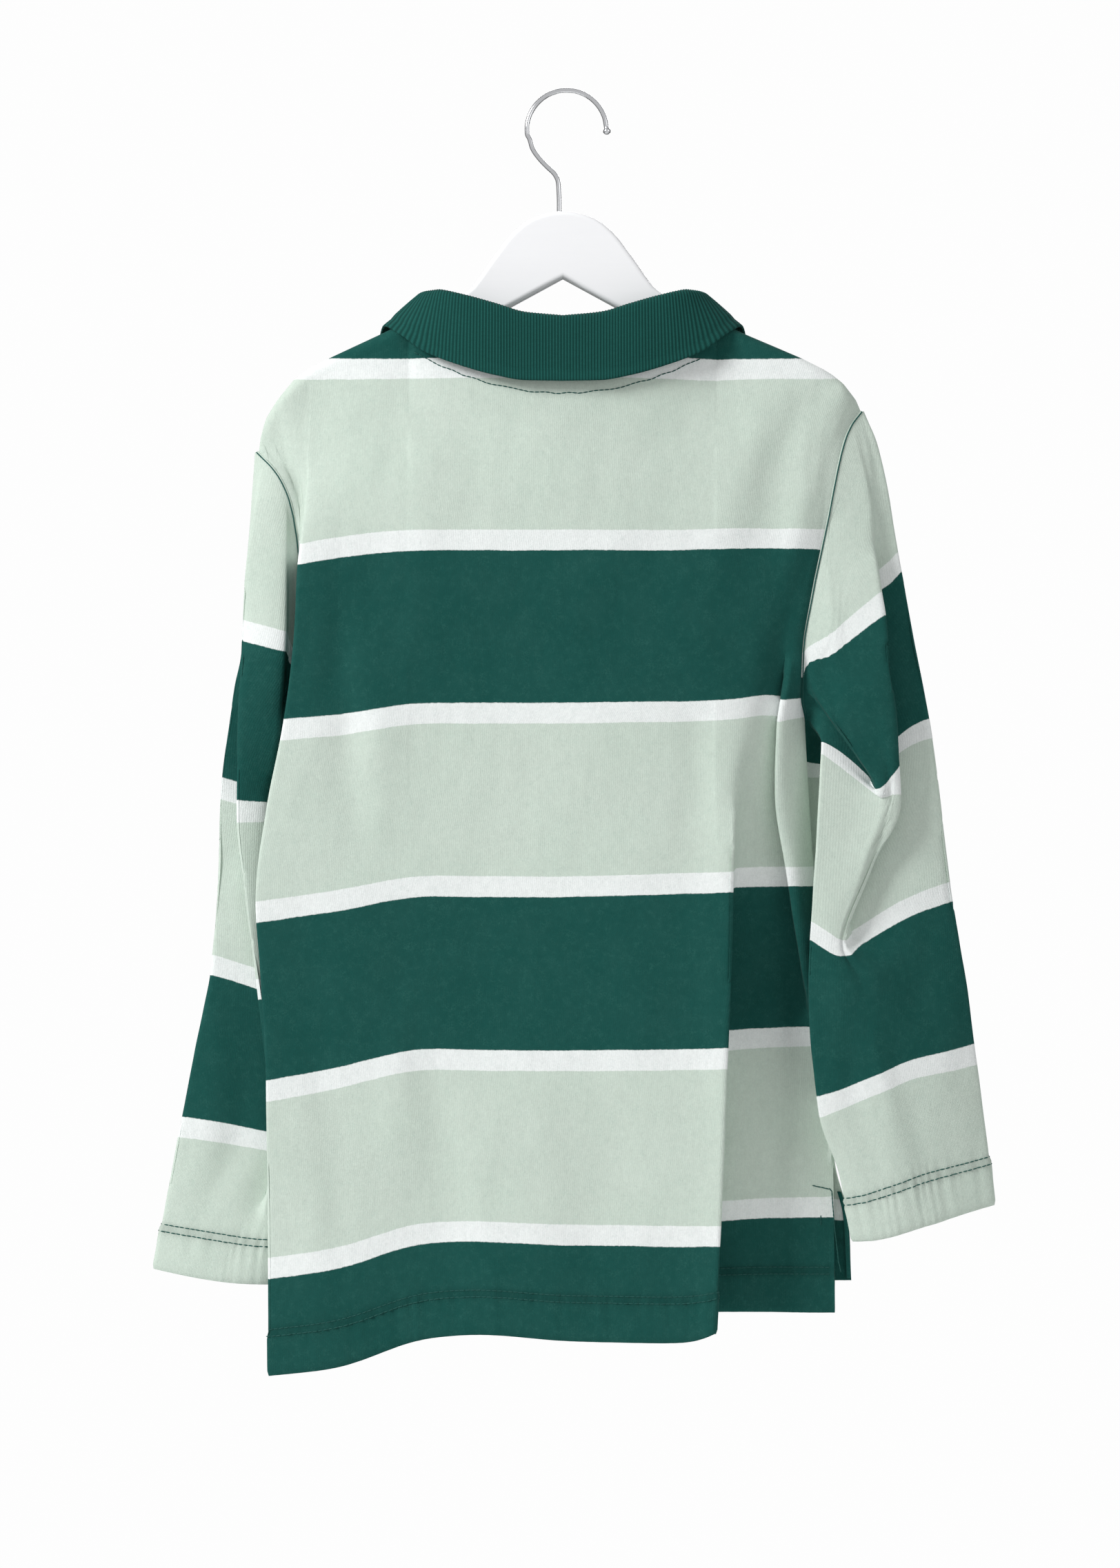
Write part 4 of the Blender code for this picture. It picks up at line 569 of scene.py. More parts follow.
def frontLines():
    return ([("right seam", 0.0, rightArmholeFront + frontSide(rightVent))] + list(frontFolds)
            + [("left seam", 1.0, leftArmholeFront + frontSide(leftVent))])


def panelNet(lines):
    return easedNet(lambda share, level: foldedPoint(lines, share, level),
                    np.arange(118.0, 706.0, 3.0), False, lambda share: np.full(len(share), body["probe"]))


def armholePlace(edges, side, level):
    table = np.array(edges[side], float)
    found = smoothCurve(table[:, 0], table[:, 1:], level)
    return np.column_stack([found[:, 0], found[:, 1], -(level + found[:, 2])])


def sleeveTables(folds, edges):   # each fold line, from its place on the armhole
    tables = []
    for name, place, (side, level, start), table in folds:
        edge = armholePlace(edges, side, np.array([float(level)]))[0]
        tables.append(np.array(((start, edge[0], edge[1], edge[2], 0.0),) + tuple(table), float))
    return tables


def sleeveRing(folds, tables, share, length):   # a ring at shares of the way round and lengths
    rows = []
    for table in tables:
        found = smoothCurve(table[:, 0], table[:, 1:], length)
        found[:, 3] = np.clip(found[:, 3], -1, 1)
        rows.append(found)
    spots = [place for name, place, start, table in folds]
    return acrossFolds(spots, rows, share, closed=True)[:, :3]


def sleeveGrid(folds, edges, outward):   # places all round a sleeve, from its armhole to its cuff
    lines = sleeveTables(folds, edges)
    spots = [place for name, place, start, table in folds]
    begins = [start[2] for name, place, start, table in folds]
    net = easedNet(lambda share, length: sleeveRing(folds, lines, share, length),
                   np.arange(0.0, sleeve["length"] + 4, 3.0), True,
                   lambda share: np.interp(share, spots, begins, period=1.0) + sleeve["capEase"])
    fine = np.linspace(0, 1, cloth["fineShares"])[:-1]
    found = [easedPlace(net, fine, np.full(len(fine), length)) for length in np.linspace(70, 460, 9)]
    shares = evenShares(np.array(found), True, cloth["columnStep"])
    found = {"back": [], "front": []}
    for name, place, start, table in folds:
        found[start[0]].append((place, start[1], start[2]))
    backSpots = found["back"]
    top = backSpots[-1][0]
    frontSpots = [backSpots[-1]] + found["front"] + [(1.0, backSpots[0][1], backSpots[0][2])]
    backSpots, frontSpots = np.array(backSpots), np.array(frontSpots)
    wrapped = np.mod(shares, 1.0)
    onBack = wrapped[:, None] <= top
    level, start = np.where(onBack, smoothCurve(backSpots[:, 0], backSpots[:, 1:], wrapped),
                            smoothCurve(frontSpots[:, 0], frontSpots[:, 1:], wrapped)).T
    edge = np.where(onBack, armholePlace(edges, "back", level), armholePlace(edges, "front", level))
    low = np.clip((level - backSpots[0, 1] + 50) / 50, 0, 1)
    edge[:, 0] += outward * (sleeve["gap"] + 0.9 * low)
    edge[:, 2] -= 0.5 * (1 - low)
    moved = edge - easedPlace(net, shares, start)
    rings, lengths = [], []
    for k in range(sleeve["rows"] + 1):
        along = k / sleeve["rows"]
        length = start + (sleeve["length"] - start) * (0.25 * along ** 2 + 0.75 * along)
        ring = easedPlace(net, shares, length)
        past = length - start
        ring += moved * (np.clip(1 - past / 50, 0, 1) ** 2)[:, None]
        swell = np.clip(past / 8, 0, 1) * np.clip(1 - (past - 8) / 50, 0, 1) ** 2
        ring[:, 0] += outward * sleeve["swell"] * swell * np.clip(start / 20, 0, 1)
        rings.append(ring)
        lengths.append(length)
    points = np.array(rings)
    cut = np.stack([arcAcross(points, True, cloth["sleeveGirth"]), np.array(lengths)], axis=2)
    if outward < 0:   # turned so that rows and columns give a way out of the cloth on both sleeves
        points, cut = points[:, ::-1], cut[:, ::-1]
    return {"points": points, "cut": cut, "closed": True, "hem": sleeve["length"], "top": start}


def outwardOf(points, closed):   # unit vectors out of the cloth at each place
    if closed:
        wide = np.concatenate([points[:, -1:], points, points[:, :1]], axis=1)
        along = wide[:, 2:] - wide[:, :-2]
    else:
        along = np.gradient(points, axis=1)
    out = np.cross(np.gradient(points, axis=0), along)
    return out / np.maximum(np.linalg.norm(out, axis=2, keepdims=True), 1e-9)


def creaseRelief(cut, creases, girth=None):   # soft troughs and ridges, in cloth coordinates
    relief = np.zeros(cut.shape[:2])
    for a0, d0, a1, d1, bend, width, depth in creases:
        line = np.array((a1 - a0, d1 - d0), float)
        reach = np.linalg.norm(line)
        line /= reach
        offset = cut - np.array((a0, d0), float)
        if girth:
            offset[..., 0] = (offset[..., 0] + girth / 2) % girth - girth / 2
        along = (offset @ line) / reach
        aside = offset @ np.array((-line[1], line[0]))
        inside = np.clip(along, 0, 1)
        aside = aside - bend * np.sin(math.pi * inside)
        beyond = (along - inside) * reach
        fade = np.sin(math.pi * np.clip(inside * 0.92 + 0.04, 0, 1)) ** 0.7
        spread = width * (0.75 + 0.35 * inside)
        away = (aside ** 2 + beyond ** 2) / (2 * spread ** 2)
        relief += cloth["creaseDepth"] * depth * fade * np.exp(-away)
    return relief


def softWaves(cut, seed, size, height):   # faint uneven swell of hanging cloth
    rows, columns = cut.shape[:2]
    flat = cut.reshape(-1, 2)
    found = [noise.noise(Vector((a / size, d / (size * 2.2), seed))) for a, d in flat]
    return height * np.array(found).reshape(rows, columns)


hem = {
    "depth": 25.0, "second": 3.7,     # the first row of stitching from the edge, and the next
    "sink": 0.55, "sinkWidth": 0.85,  # how far the thread pulls the cloth in
    "swell": 0.8, "pucker": 0.34, "puckerPitch": 6.5,
}


def hemRelief(cut, hemLength):   # the turned band stands proud and puckers at its stitching
    depth = hem["depth"]
    down = cut[..., 1] - (hemLength - depth)
    relief = hem["swell"] * np.clip((down + 1.5) / 3, 0, 1)
    relief -= hem["swell"] * 0.9 * np.clip((down - depth + 2.2) / 2.2, 0, 1) ** 2
    for row in (0.0, hem["second"]):
        relief -= hem["sink"] * np.exp(-((down - row) / hem["sinkWidth"]) ** 2)
    phase = cut[..., 0] / hem["puckerPitch"] * 2 * math.pi
    uneven = np.sin(phase + 1.7 * np.sin(phase * 0.231)) + 0.5 * np.sin(phase * 0.437 + 1.1)
    near = np.exp(-((down - 3) / 6.0) ** 2) + 0.45 * np.clip(down / 8, 0, 1) * (down < depth + 1)
    return relief + hem["pucker"] * uneven * near


def addUv(bm, cut):
    layer = bm.loops.layers.uv.new("cut")
    flat = cut.reshape(-1, 2) * mm
    for face in bm.faces:
        for loop in face.loops:
            loop[layer].uv = flat[loop.vert.index]


def shapeObject(name, bm, sharp=None):   # a bmesh as a smooth object, but for its sharp edges
    mesh = bpy.data.meshes.new(name)
    bm.to_mesh(mesh)
    bm.free()
    mesh.shade_smooth()
    if sharp:
        mesh.set_sharp_from_angle(angle=math.radians(sharp))
    made = bpy.data.objects.new(name, mesh)
    bpy.context.scene.collection.objects.link(made)
    return made


def sheetMesh(name, grid):   # a grid moved onto the places; the cloth's own width and length is its UV
    points, cut = grid["points"], grid["cut"]
    if grid["closed"]:
        lap = cut[:, :1].copy()
        lap[..., 0] += cloth["sleeveGirth"] if cut[0, 1, 0] > cut[0, 0, 0] else -cloth["sleeveGirth"]
        points = np.concatenate([points, points[:, :1]], axis=1)
        cut = np.concatenate([cut, lap], axis=1)
    rows, columns = points.shape[:2]
    bm = bmesh.new()
    bmesh.ops.create_grid(bm, x_segments=columns - 1, y_segments=rows - 1, size=0.5)
    bm.verts.ensure_lookup_table()
    places = points[::-1].reshape(-1, 3) * mm
    for vert, place in zip(bm.verts, places):
        vert.co = place
    addUv(bm, cut[::-1])
    if grid["closed"]:
        bmesh.ops.remove_doubles(bm, verts=bm.verts, dist=1e-7)
    return shapeObject(name, bm)


def giveWall(made, thickness, rim):   # a wall both ways from the middle, its cut edges rounded
    wall = made.modifiers.new("wall", "SOLIDIFY")
    wall.thickness = thickness * mm
    wall.offset = 0.0
    wall.use_quality_normals = True
    if rim:
        rounded = made.modifiers.new("rim", "BEVEL")
        rounded.limit_method = "ANGLE"
        rounded.angle_limit = math.radians(60)
        rounded.width = rim * mm
        rounded.segments = 2
        rounded.profile = 0.5
        rounded.use_clamp_overlap = True


def dress(made, node, material):   # rides with the garment and stands for its solid
    made.data.materials.clear()
    made.data.materials.append(material)
    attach(made, "root")
    if node:
        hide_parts(node)
    return made


# Creases: where each starts and ends across the cloth and down it, how far it bows aside, its
# width, and its height, which is below nothing where it is a trough.
backCreases = (
    (24, 172, 34, 262, 4, 9, -1.6), (40, 190, 52, 300, -3, 12, 0.9), (74, 286, 92, 424, 5, 8, -1.3),
    (88, 296, 108, 410, 4, 9, 0.8), (104, 520, 112, 622, 2, 10, 1.3), (118, 540, 126, 690, -3, 12, -1.0),
    (352, 172, 336, 268, 5, 10, -1.7), (330, 176, 318, 300, 3, 14, 0.9), (362, 215, 352, 290, 2, 6, 0.7),
    (282, 330, 276, 470, 2, 9, -1.0), (262, 250, 270, 420, -3, 16, -0.8), (238, 420, 232, 600, 4, 17, 0.9),
    (212, 560, 206, 690, 3, 15, -0.8), (160, 300, 152, 470, 5, 20, -0.7), (176, 610, 182, 700, 2, 14, 1.0),
    (146, 560, 150, 700, -2, 15, 0.8), (60, 440, 66, 640, 4, 12, -0.9), (48, 520, 50, 690, -2, 8, 0.8),
    (330, 470, 338, 610, 3, 9, -1.0), (318, 560, 322, 690, -2, 10, 0.9), (352, 560, 356, 690, 2, 7, -0.7),
    (190, 196, 196, 300, -3, 18, -0.6), (128, 190, 118, 260, 3, 14, 0.5),
)
frontCreases = (
    (34, 176, 44, 280, 4, 10, -1.5), (52, 200, 62, 320, -3, 12, 0.9), (350, 176, 340, 290, 4, 11, -1.5),
    (150, 350, 132, 520, 6, 12, -1.2), (232, 352, 250, 540, -6, 12, -1.2), (190, 356, 196, 560, 3, 14, 0.9),
    (96, 300, 90, 460, 3, 12, 1.0), (300, 300, 306, 470, -3, 12, 1.0), (168, 560, 160, 680, 3, 13, -0.9),
    (222, 560, 232, 680, -2, 13, 0.9), (120, 200, 140, 330, 5, 13, -0.9), (262, 200, 244, 330, -5, 13, -0.9),
    (70, 520, 76, 670, 2, 9, -0.8), (330, 500, 322, 660, 3, 9, 0.8),
)
rightSleeveCreases = (
    (46, 70, 40, 178, 3, 7, -0.9), (62, 120, 52, 190, -2, 6, 0.8), (70, 40, 74, 150, 2, 6, -0.7),
    (30, 150, 26, 260, 2, 6, 0.9), (38, 200, 30, 300, -3, 6, -0.9), (56, 250, 44, 330, 3, 6, 0.8),
    (104, 60, 108, 180, 2, 7, -0.8), (110, 200, 98, 330, -3, 8, -0.9), (92, 300, 84, 440, 2, 9, 0.8),
    (66, 330, 60, 450, 2, 9, -0.9), (40, 340, 48, 450, -2, 8, 0.7), (20, 330, 26, 440, 2, 6, -0.7),
    (140, 90, 150, 230, 3, 9, -1.0), (170, 120, 160, 260, -3, 8, 0.9), (150, 260, 158, 420, 2, 9, 0.8),
    (190, 140, 196, 330, 2, 7, -0.8),
)
leftSleeveCreases = (
    (44, 60, 40, 170, 2, 7, -0.8), (52, 150, 46, 260, -2, 6, 0.8), (38, 240, 48, 340, 2, 6, -0.8),
    (66, 300, 58, 420, 2, 7, 0.8), (92, 120, 98, 260, 2, 7, -0.9), (104, 260, 96, 400, -2, 8, 0.8),
    (78, 340, 84, 450, 2, 8, -0.8), (20, 330, 26, 450, 2, 7, 0.7), (140, 80, 148, 220, 3, 9, -0.9),
    (166, 150, 158, 320, -3, 8, 0.8), (190, 180, 196, 380, 2, 7, -0.7),
)

print("fold lines and creases read")

backAll, frontAll = panelNet(backLines()), panelNet(frontLines())
backGrid = panelGrid(backAll, body["backHem"], -1)
frontGrid = panelGrid(frontAll, body["frontHem"], 1)
rightEdges = {"back": rightArmholeBack + rightSide[:2],
              "front": rightArmholeFront + frontSide(rightSide[:2])}
leftEdges = {"back": leftArmholeBack + leftSide[:2],
             "front": leftArmholeFront + frontSide(leftSide[:2])}
rightGrid = sleeveGrid(rightSleeve, rightEdges, 1)
leftGrid = sleeveGrid(leftSleeve, leftEdges, -1)
print("cloth laid out on its folds")


def finishGrid(grid, creases, seed):   # creases, swell and the stitched band, out of the cloth
    points, cut = grid["points"], grid["cut"]
    out = outwardOf(points, grid["closed"])
    fade = np.clip((cut[..., 1] - grid["top"]) / cloth["seamFade"], 0, 1)   # none at a sewn edge
    if not grid["closed"]:
        side = np.minimum(cut[..., 0], cloth["bodyWidth"] - cut[..., 0])
        fade = fade * np.clip(side / cloth["sideFade"], 0, 1)
    girth = cloth["sleeveGirth"] if grid["closed"] else None
    relief = creaseRelief(cut, creases, girth) + softWaves(cut, seed, 34, 0.9)
    relief += softWaves(cut, seed + 5, 11, 0.28)
    relief = relief * fade + hemRelief(cut, grid["hem"])
    grid["points"] = points + out * relief[..., None]
    grid["out"] = outwardOf(grid["points"], grid["closed"])
    return grid


finishGrid(backGrid, backCreases, 1.3)
finishGrid(frontGrid, frontCreases, 4.1)
finishGrid(rightGrid, rightSleeveCreases, 7.7)
finishGrid(leftGrid, leftSleeveCreases, 9.2)
print("creases and hems pressed in")


class Wire:   # one socket of a material's nodes, so that its maths reads as a sum
    def __init__(self, finish, socket):
        self.finish = finish
        self.socket = socket

    def maths(self, operation, first, second=None):
        inputs = {0: first} if second is None else {0: first, 1: second}
        return self.finish.node("ShaderNodeMath", {"operation": operation}, inputs)

    def __add__(self, other):
        return self.maths("ADD", self, other)

    def __sub__(self, other):
        return self.maths("SUBTRACT", self, other)

    def __mul__(self, other):
        return self.maths("MULTIPLY", self, other)

    def __truediv__(self, other):
        return self.maths("DIVIDE", self, other)

    def __mod__(self, other):
        return self.maths("MODULO", self, other)

    def __radd__(self, other):
        return self.maths("ADD", other, self)

    def __rsub__(self, other):
        return self.maths("SUBTRACT", other, self)

    def __rmul__(self, other):
        return self.maths("MULTIPLY", other, self)

    def __rtruediv__(self, other):
        return self.maths("DIVIDE", other, self)

    def sine(self):
        return self.maths("SINE", self)

    def past(self, edge, soft):   # 0 before an edge and 1 past it
        ramp = (self - edge) / soft + 0.5
        return self.finish.node("ShaderNodeClamp", {}, {0: ramp})


class Nodes:   # a node tree and the one method that makes its nodes
    def __init__(self, tree):
        self.tree = tree

    def node(self, kind, settings, inputs, output=0):
        made = self.tree.nodes.new(kind)
        for setting, value in settings.items():
            setattr(made, setting, value)
        for socket, value in inputs.items():
            if isinstance(value, Wire):
                self.tree.links.new(value.socket, made.inputs[socket])
            else:
                made.inputs[socket].default_value = value
        return Wire(self, made.outputs[output])


class Finish(Nodes):   # a material
    def __init__(self, name, **constants):
        self.material = bpy.data.materials.new(name)
        self.material.use_nodes = True
        super().__init__(self.material.node_tree)
        self.shader = self.tree.nodes["Principled BSDF"]
        for socket, value in constants.items():
            self.shader.inputs[socket.replace("_", " ")].default_value = value

    def place(self):
        return self.node("ShaderNodeTexCoord", {}, {}, "Object")

    def cut(self):   # across the cloth and down it, in millimetres
        uv = self.node("ShaderNodeUVMap", {"uv_map": "cut"}, {})
        across = self.node("ShaderNodeSeparateXYZ", {}, {0: uv}, 0)
        down = self.node("ShaderNodeSeparateXYZ", {}, {0: uv}, 1)
        return across * 1000, down * 1000

    def noise(self, vector, scale, detail=2.0, rough=0.5):   # from about -0.5 to 0.5
        return self.node("ShaderNodeTexNoise", {}, {"Vector": vector, "Scale": scale, "Detail": detail,
                                                    "Roughness": rough}) - 0.5

    def stretch(self, vector, scale):   # the pattern drawn out along one way
        return self.node("ShaderNodeMapping", {}, {"Vector": vector, "Scale": scale})

    def mix(self, share, first, second, blend="MIX"):
        return self.node("ShaderNodeMix", {"data_type": "RGBA", "blend_type": blend},
                         {0: share, 6: first, 7: second}, 2)

    def shade(self, colour, amount):   # the colour times a number
        return self.mix(1.0, colour, amount, "MULTIPLY")

    def bump(self, height, strength, distance):
        return self.node("ShaderNodeBump", {}, {"Strength": strength, "Distance": distance * mm,
                                                "Height": height})

    def drive(self, **inputs):
        for socket, value in inputs.items():
            self.tree.links.new(value.socket, self.shader.inputs[socket.replace("_", " ")])
        return self.material


tones = {
    "dark": (0.0085, 0.0735, 0.0625, 1), "darkFaded": (0.024, 0.104, 0.090, 1),
    "white": (0.82, 0.855, 0.845, 1),
    "pale": (0.555, 0.655, 0.575, 1), "paleWarm": (0.595, 0.675, 0.605, 1),
    "thread": (0.012, 0.080, 0.068, 1),
    # the collar rib's two tones: painted shade for its grooves and painted light for its ridges
    "ribGroovePaintedShade": (0.0045, 0.043, 0.036, 1), "ribRidgePaintedLight": (0.0135, 0.098, 0.084, 1),
    "paint": (0.93, 0.935, 0.95, 1), "chrome": (0.72, 0.73, 0.75, 1), "button": (0.80, 0.81, 0.77, 1),
    "fleck": (0.10, 0.30, 0.25, 1),   # the light fibres
}
stripes = {"broad": 85.5, "narrow": 11.5, "edgeSoft": 0.55, "wander": 1.1, "bodyWhite": 248.7,
           "sleeveWhite": 84.0}
knit = {"wale": 1.05, "course": 0.8, "waleBump": 0.35, "fleck": 0.10}


def clothSurface(finish, colour, lift, hemAt=None):   # heather, fading and the knit of any jersey, with painted shade along a hem's stitched line
    place = finish.place()
    across, down = finish.cut()
    fibre = finish.noise(finish.stretch(place, (1500, 1500, 620)), 1.0, 3.0, 0.65)
    speck = finish.noise(place, 900, 2.0, 0.6)
    cloud = finish.noise(place, 16, 3.0, 0.55)
    patch = finish.noise(place, 75, 3.0, 0.6)
    heather = finish.noise(finish.stretch(place, (420, 420, 190)), 1.0, 4.0, 0.7)
    curl = finish.noise(place, 620, 1.5, 0.5)
    fleck = 1 / (1 + curl * curl * 900)   # thin light lines where the noise crosses zero
    sparse = finish.noise(place, 260, 1.0, 0.5).past(0.05, 0.3)
    level = 1.0 + fibre * (lift * 1.2) + speck * lift + heather * (lift * 1.1)
    level = level + cloud * 0.08 + patch * 0.06
    colour = finish.mix(fleck * sparse * knit["fleck"], colour, tones["fleck"])
    if hemAt:   # painted shade: the colour is darkened in a soft band along the stitched line, where its groove is shaded
        offset = (down - (hemAt - hem["depth"] + hem["second"] / 2)) / 3.2
        paintedGrooveShade = 1 / (1 + offset * offset * offset * offset)
        ticks = finish.noise(finish.stretch(place, (300, 300, 40)), 1.0, 3.0, 0.6) + 0.6
        level = level * (1 - paintedGrooveShade * ticks * 0.3)
    wale = (across * (2 * math.pi / knit["wale"]) + speck * 3.0).sine()
    course = (down * (2 * math.pi / knit["course"]) + speck * 3.0).sine()
    height = wale * 0.32 + course * 0.16 + fibre * 1.5 + speck * 0.9 + patch * 1.2
    normal = finish.bump(height, knit["waleBump"], 0.22)
    return finish.drive(Base_Color=finish.shade(colour, level), Normal=normal)


def stripedJersey(name, firstWhite, hemAt):
    finish = Finish(name, Roughness=0.92, Sheen_Weight=0.03, Sheen_Roughness=0.5, Specular_IOR_Level=0.1)
    down = finish.cut()[1]
    place = finish.place()
    wander = finish.noise(place, 42, 3.0, 0.6) * stripes["wander"]
    jag = finish.noise(place, 620, 1.0, 0.5) * 0.55
    repeat = 2 * (stripes["broad"] + stripes["narrow"])
    half = stripes["broad"] / 2
    ends = [half, half + stripes["narrow"], half + stripes["narrow"] + stripes["broad"]]
    ends.append(ends[-1] + stripes["narrow"])
    at = (down + wander + jag + (2 * repeat + half - firstWhite)) % repeat
    soft = stripes["edgeSoft"]
    isWhite = at.past(ends[0], soft) * (1 - at.past(ends[3], soft))
    isDark = at.past(ends[1], soft) * (1 - at.past(ends[2], soft))
    warm = finish.noise(place, 22, 2.0, 0.5) + 0.5
    pale = finish.mix(warm, tones["pale"], tones["paleWarm"])
    worn = finish.noise(place, 60, 4.0, 0.65).past(0.12, 0.5)
    dark = finish.mix(worn * 0.35, tones["dark"], tones["darkFaded"])
    colour = finish.mix(isDark, finish.mix(isWhite, pale, tones["white"]), dark)
    return clothSurface(finish, colour, 0.16, hemAt)


def plainJersey(name, tone, lift):
    finish = Finish(name, Roughness=0.92, Sheen_Weight=0.03, Sheen_Roughness=0.5, Specular_IOR_Level=0.1)
    colour = finish.mix(finish.noise(finish.place(), 60, 4.0, 0.6).past(0.1, 0.5) * 0.3,
                        tones[tone], tones["darkFaded"])
    return clothSurface(finish, colour, lift)


backJersey = stripedJersey("striped jersey, back", stripes["bodyWhite"], body["backHem"])
frontJersey = stripedJersey("striped jersey, front", stripes["bodyWhite"], body["frontHem"])
sleeveJersey = stripedJersey("striped jersey, sleeves", stripes["sleeveWhite"], sleeve["length"])
greenJersey = plainJersey("dark green jersey", "dark", 0.2)
print("jersey finishes made")

panels = (
    ("backPanel", "back", backGrid, backJersey),
    ("frontPanel", "front", frontGrid, frontJersey),
    ("rightSleevePiece", "sleeve_right", rightGrid, sleeveJersey),
    ("leftSleevePiece", "sleeve_left", leftGrid, sleeveJersey),
)
for name, node, grid, material in panels:
    made = sheetMesh(name, grid)
    giveWall(made, cloth["wall"], cloth["rimRound"])
    dress(made, node, material)
    print("%s: %d by %d places" % (name, grid["points"].shape[0], grid["points"].shape[1]))


# The collar: a flat-knit rib in one piece, its stand inside and its fall turned out over it.
collar = {
    "wall": 1.6, "lift": 1.6, "inset": 1.3, "front": 174.0,
    "ribPitch": 1.72, "ribHeight": 0.38, "perRib": 4, "edgeBand": 7.0,
    # Where the fold and the free edge run: angle from the middle of the back, out, depth, height.
    "fold": ((0, 0, -20.5, -129.5), (14, 21, -20.5, -127.5), (26, 38, -20, -122.5), (39, 55.5, -18.5, -117.5),
             (55, 70, -13, -114), (90, 79, 0, -114), (113, 79, 13, -128), (131, 66, 22, -148),
             (147, 46, 27, -168), (163, 24, 29.5, -186), (174, 8, 30.5, -199)),
    "edge": ((0, 0, -25, -165.8), (14, 20.9, -25, -165.4), (26, 38, -24.2, -162.4), (39, 57, -22.5, -157),
             (55, 77, -19, -149), (72, 91, -12.5, -138.8), (90, 101, 0, -132.4), (105, 104, 14, -140),
             (120, 98, 27, -158), (140, 84, 34, -184), (160, 70, 37.5, -206), (174, 60, 38.5, -218)),
}


def neckSeam(turned):   # the neck's edge by the angle from the middle of the back
    a = np.radians(turned)
    x = body["neckHalfWidth"] * np.sin(a)
    back = neckPlace(x, -1)
    front = neckPlace(x, 1)
    onBack = turned < 90
    lift = cloth["seam"] + 0.9 + collar["lift"] * np.sin(a) ** 12
    return np.column_stack([x - collar["inset"] * np.sin(a) ** 4, np.where(onBack, back[0], front[0]),
                            np.where(onBack, back[1], front[1]) + lift])


def square(way, to):   # the part of a direction that is square to another
    return unit(way - to * np.sum(way * to, axis=-1, keepdims=True))


def collarSections(turned):   # up the stand's inside, over the fold, down the fall and home between
    seam = neckSeam(turned)
    foldTable, edgeTable = np.array(collar["fold"]), np.array(collar["edge"])
    fold = smoothCurve(foldTable[:, 0], foldTable[:, 1:], turned)
    edge = smoothCurve(edgeTable[:, 0], edgeTable[:, 1:], turned)
    outward = unit((edge - seam) * (1, 1, 0))
    downFall, upStand = unit(edge - fold), unit(fold - seam)
    fallOut, standOut = square(outward, downFall), square(outward, upStand)
    between = unit(downFall - upStand)
    half = collar["wall"] / 2
    up = np.array([[0, 0, 1.0]])
    roof = fold + up * half
    corners = [
        (seam - standOut * half, -standOut, 0.0),
        (seam + (fold - seam) * 0.45 - standOut * (half + 0.2), -standOut, 1.0),
        (fold - upStand * 2.5 - standOut * (half + 0.7), -standOut, 1.0),
        (fold - upStand * 0.9 - standOut * (half + 0.35) + up * 0.1, unit(up - standOut), 1.0),
        (roof, up + 0 * standOut, 1.0),
        (fold + downFall * 0.9 + fallOut * (half + 0.35) + up * 0.1, unit(up + fallOut), 1.0),
        (fold + downFall * 2.5 + fallOut * (half + 0.7), fallOut, 1.0),
        (fold + (edge - fold) * 0.28 + fallOut * (half + 0.75), fallOut, 1.0),
        (fold + (edge - fold) * 0.5 + fallOut * (half + 0.6), fallOut, 1.0),
        (fold + (edge - fold) * 0.68 + fallOut * (half + 0.35), fallOut, 1.0),
        (edge - downFall * collar["edgeBand"] + fallOut * half, fallOut, 0.9),
        (edge - downFall * (collar["edgeBand"] - 1.4) + fallOut * (half - 0.1), fallOut, 0.35),
        (edge - downFall * 2.6 + fallOut * half, fallOut, 0.3),
        (edge - downFall * 0.5 + fallOut * half, fallOut, 0.2),
        (edge + fallOut * half * 0.5, fallOut, 0.0),
        (edge - fallOut * half * 0.5, fallOut, 0.0),
        (edge - downFall * 0.5 - fallOut * half, fallOut, 0.0),
        (fold + (edge - fold) * 0.5 - fallOut * (half - 0.6), fallOut, 0.0),
        (fold + between * 3.2, fallOut, 0.0),
        (seam + (fold - seam) * 0.5 + standOut * (half - 0.1), standOut, 0.0),
        (seam + standOut * half, standOut, 0.0),
    ]
    steps = (2, 3, 1, 1, 1, 1, 3, 3, 3, 3, 2, 2, 2, 1, 1, 1, 3, 2, 3, 1, 1)
    places, ways, ribs = [], [], []
    for k, count in enumerate(steps):
        following = corners[(k + 1) % len(corners)]
        for part in range(count):
            t = part / count
            places.append(corners[k][0] * (1 - t) + following[0] * t)
            ways.append(corners[k][1] * (1 - t) + following[1] * t)
            ribs.append(corners[k][2] * (1 - t) + following[2] * t)
    return np.array(places), np.array(ways), np.array(ribs)


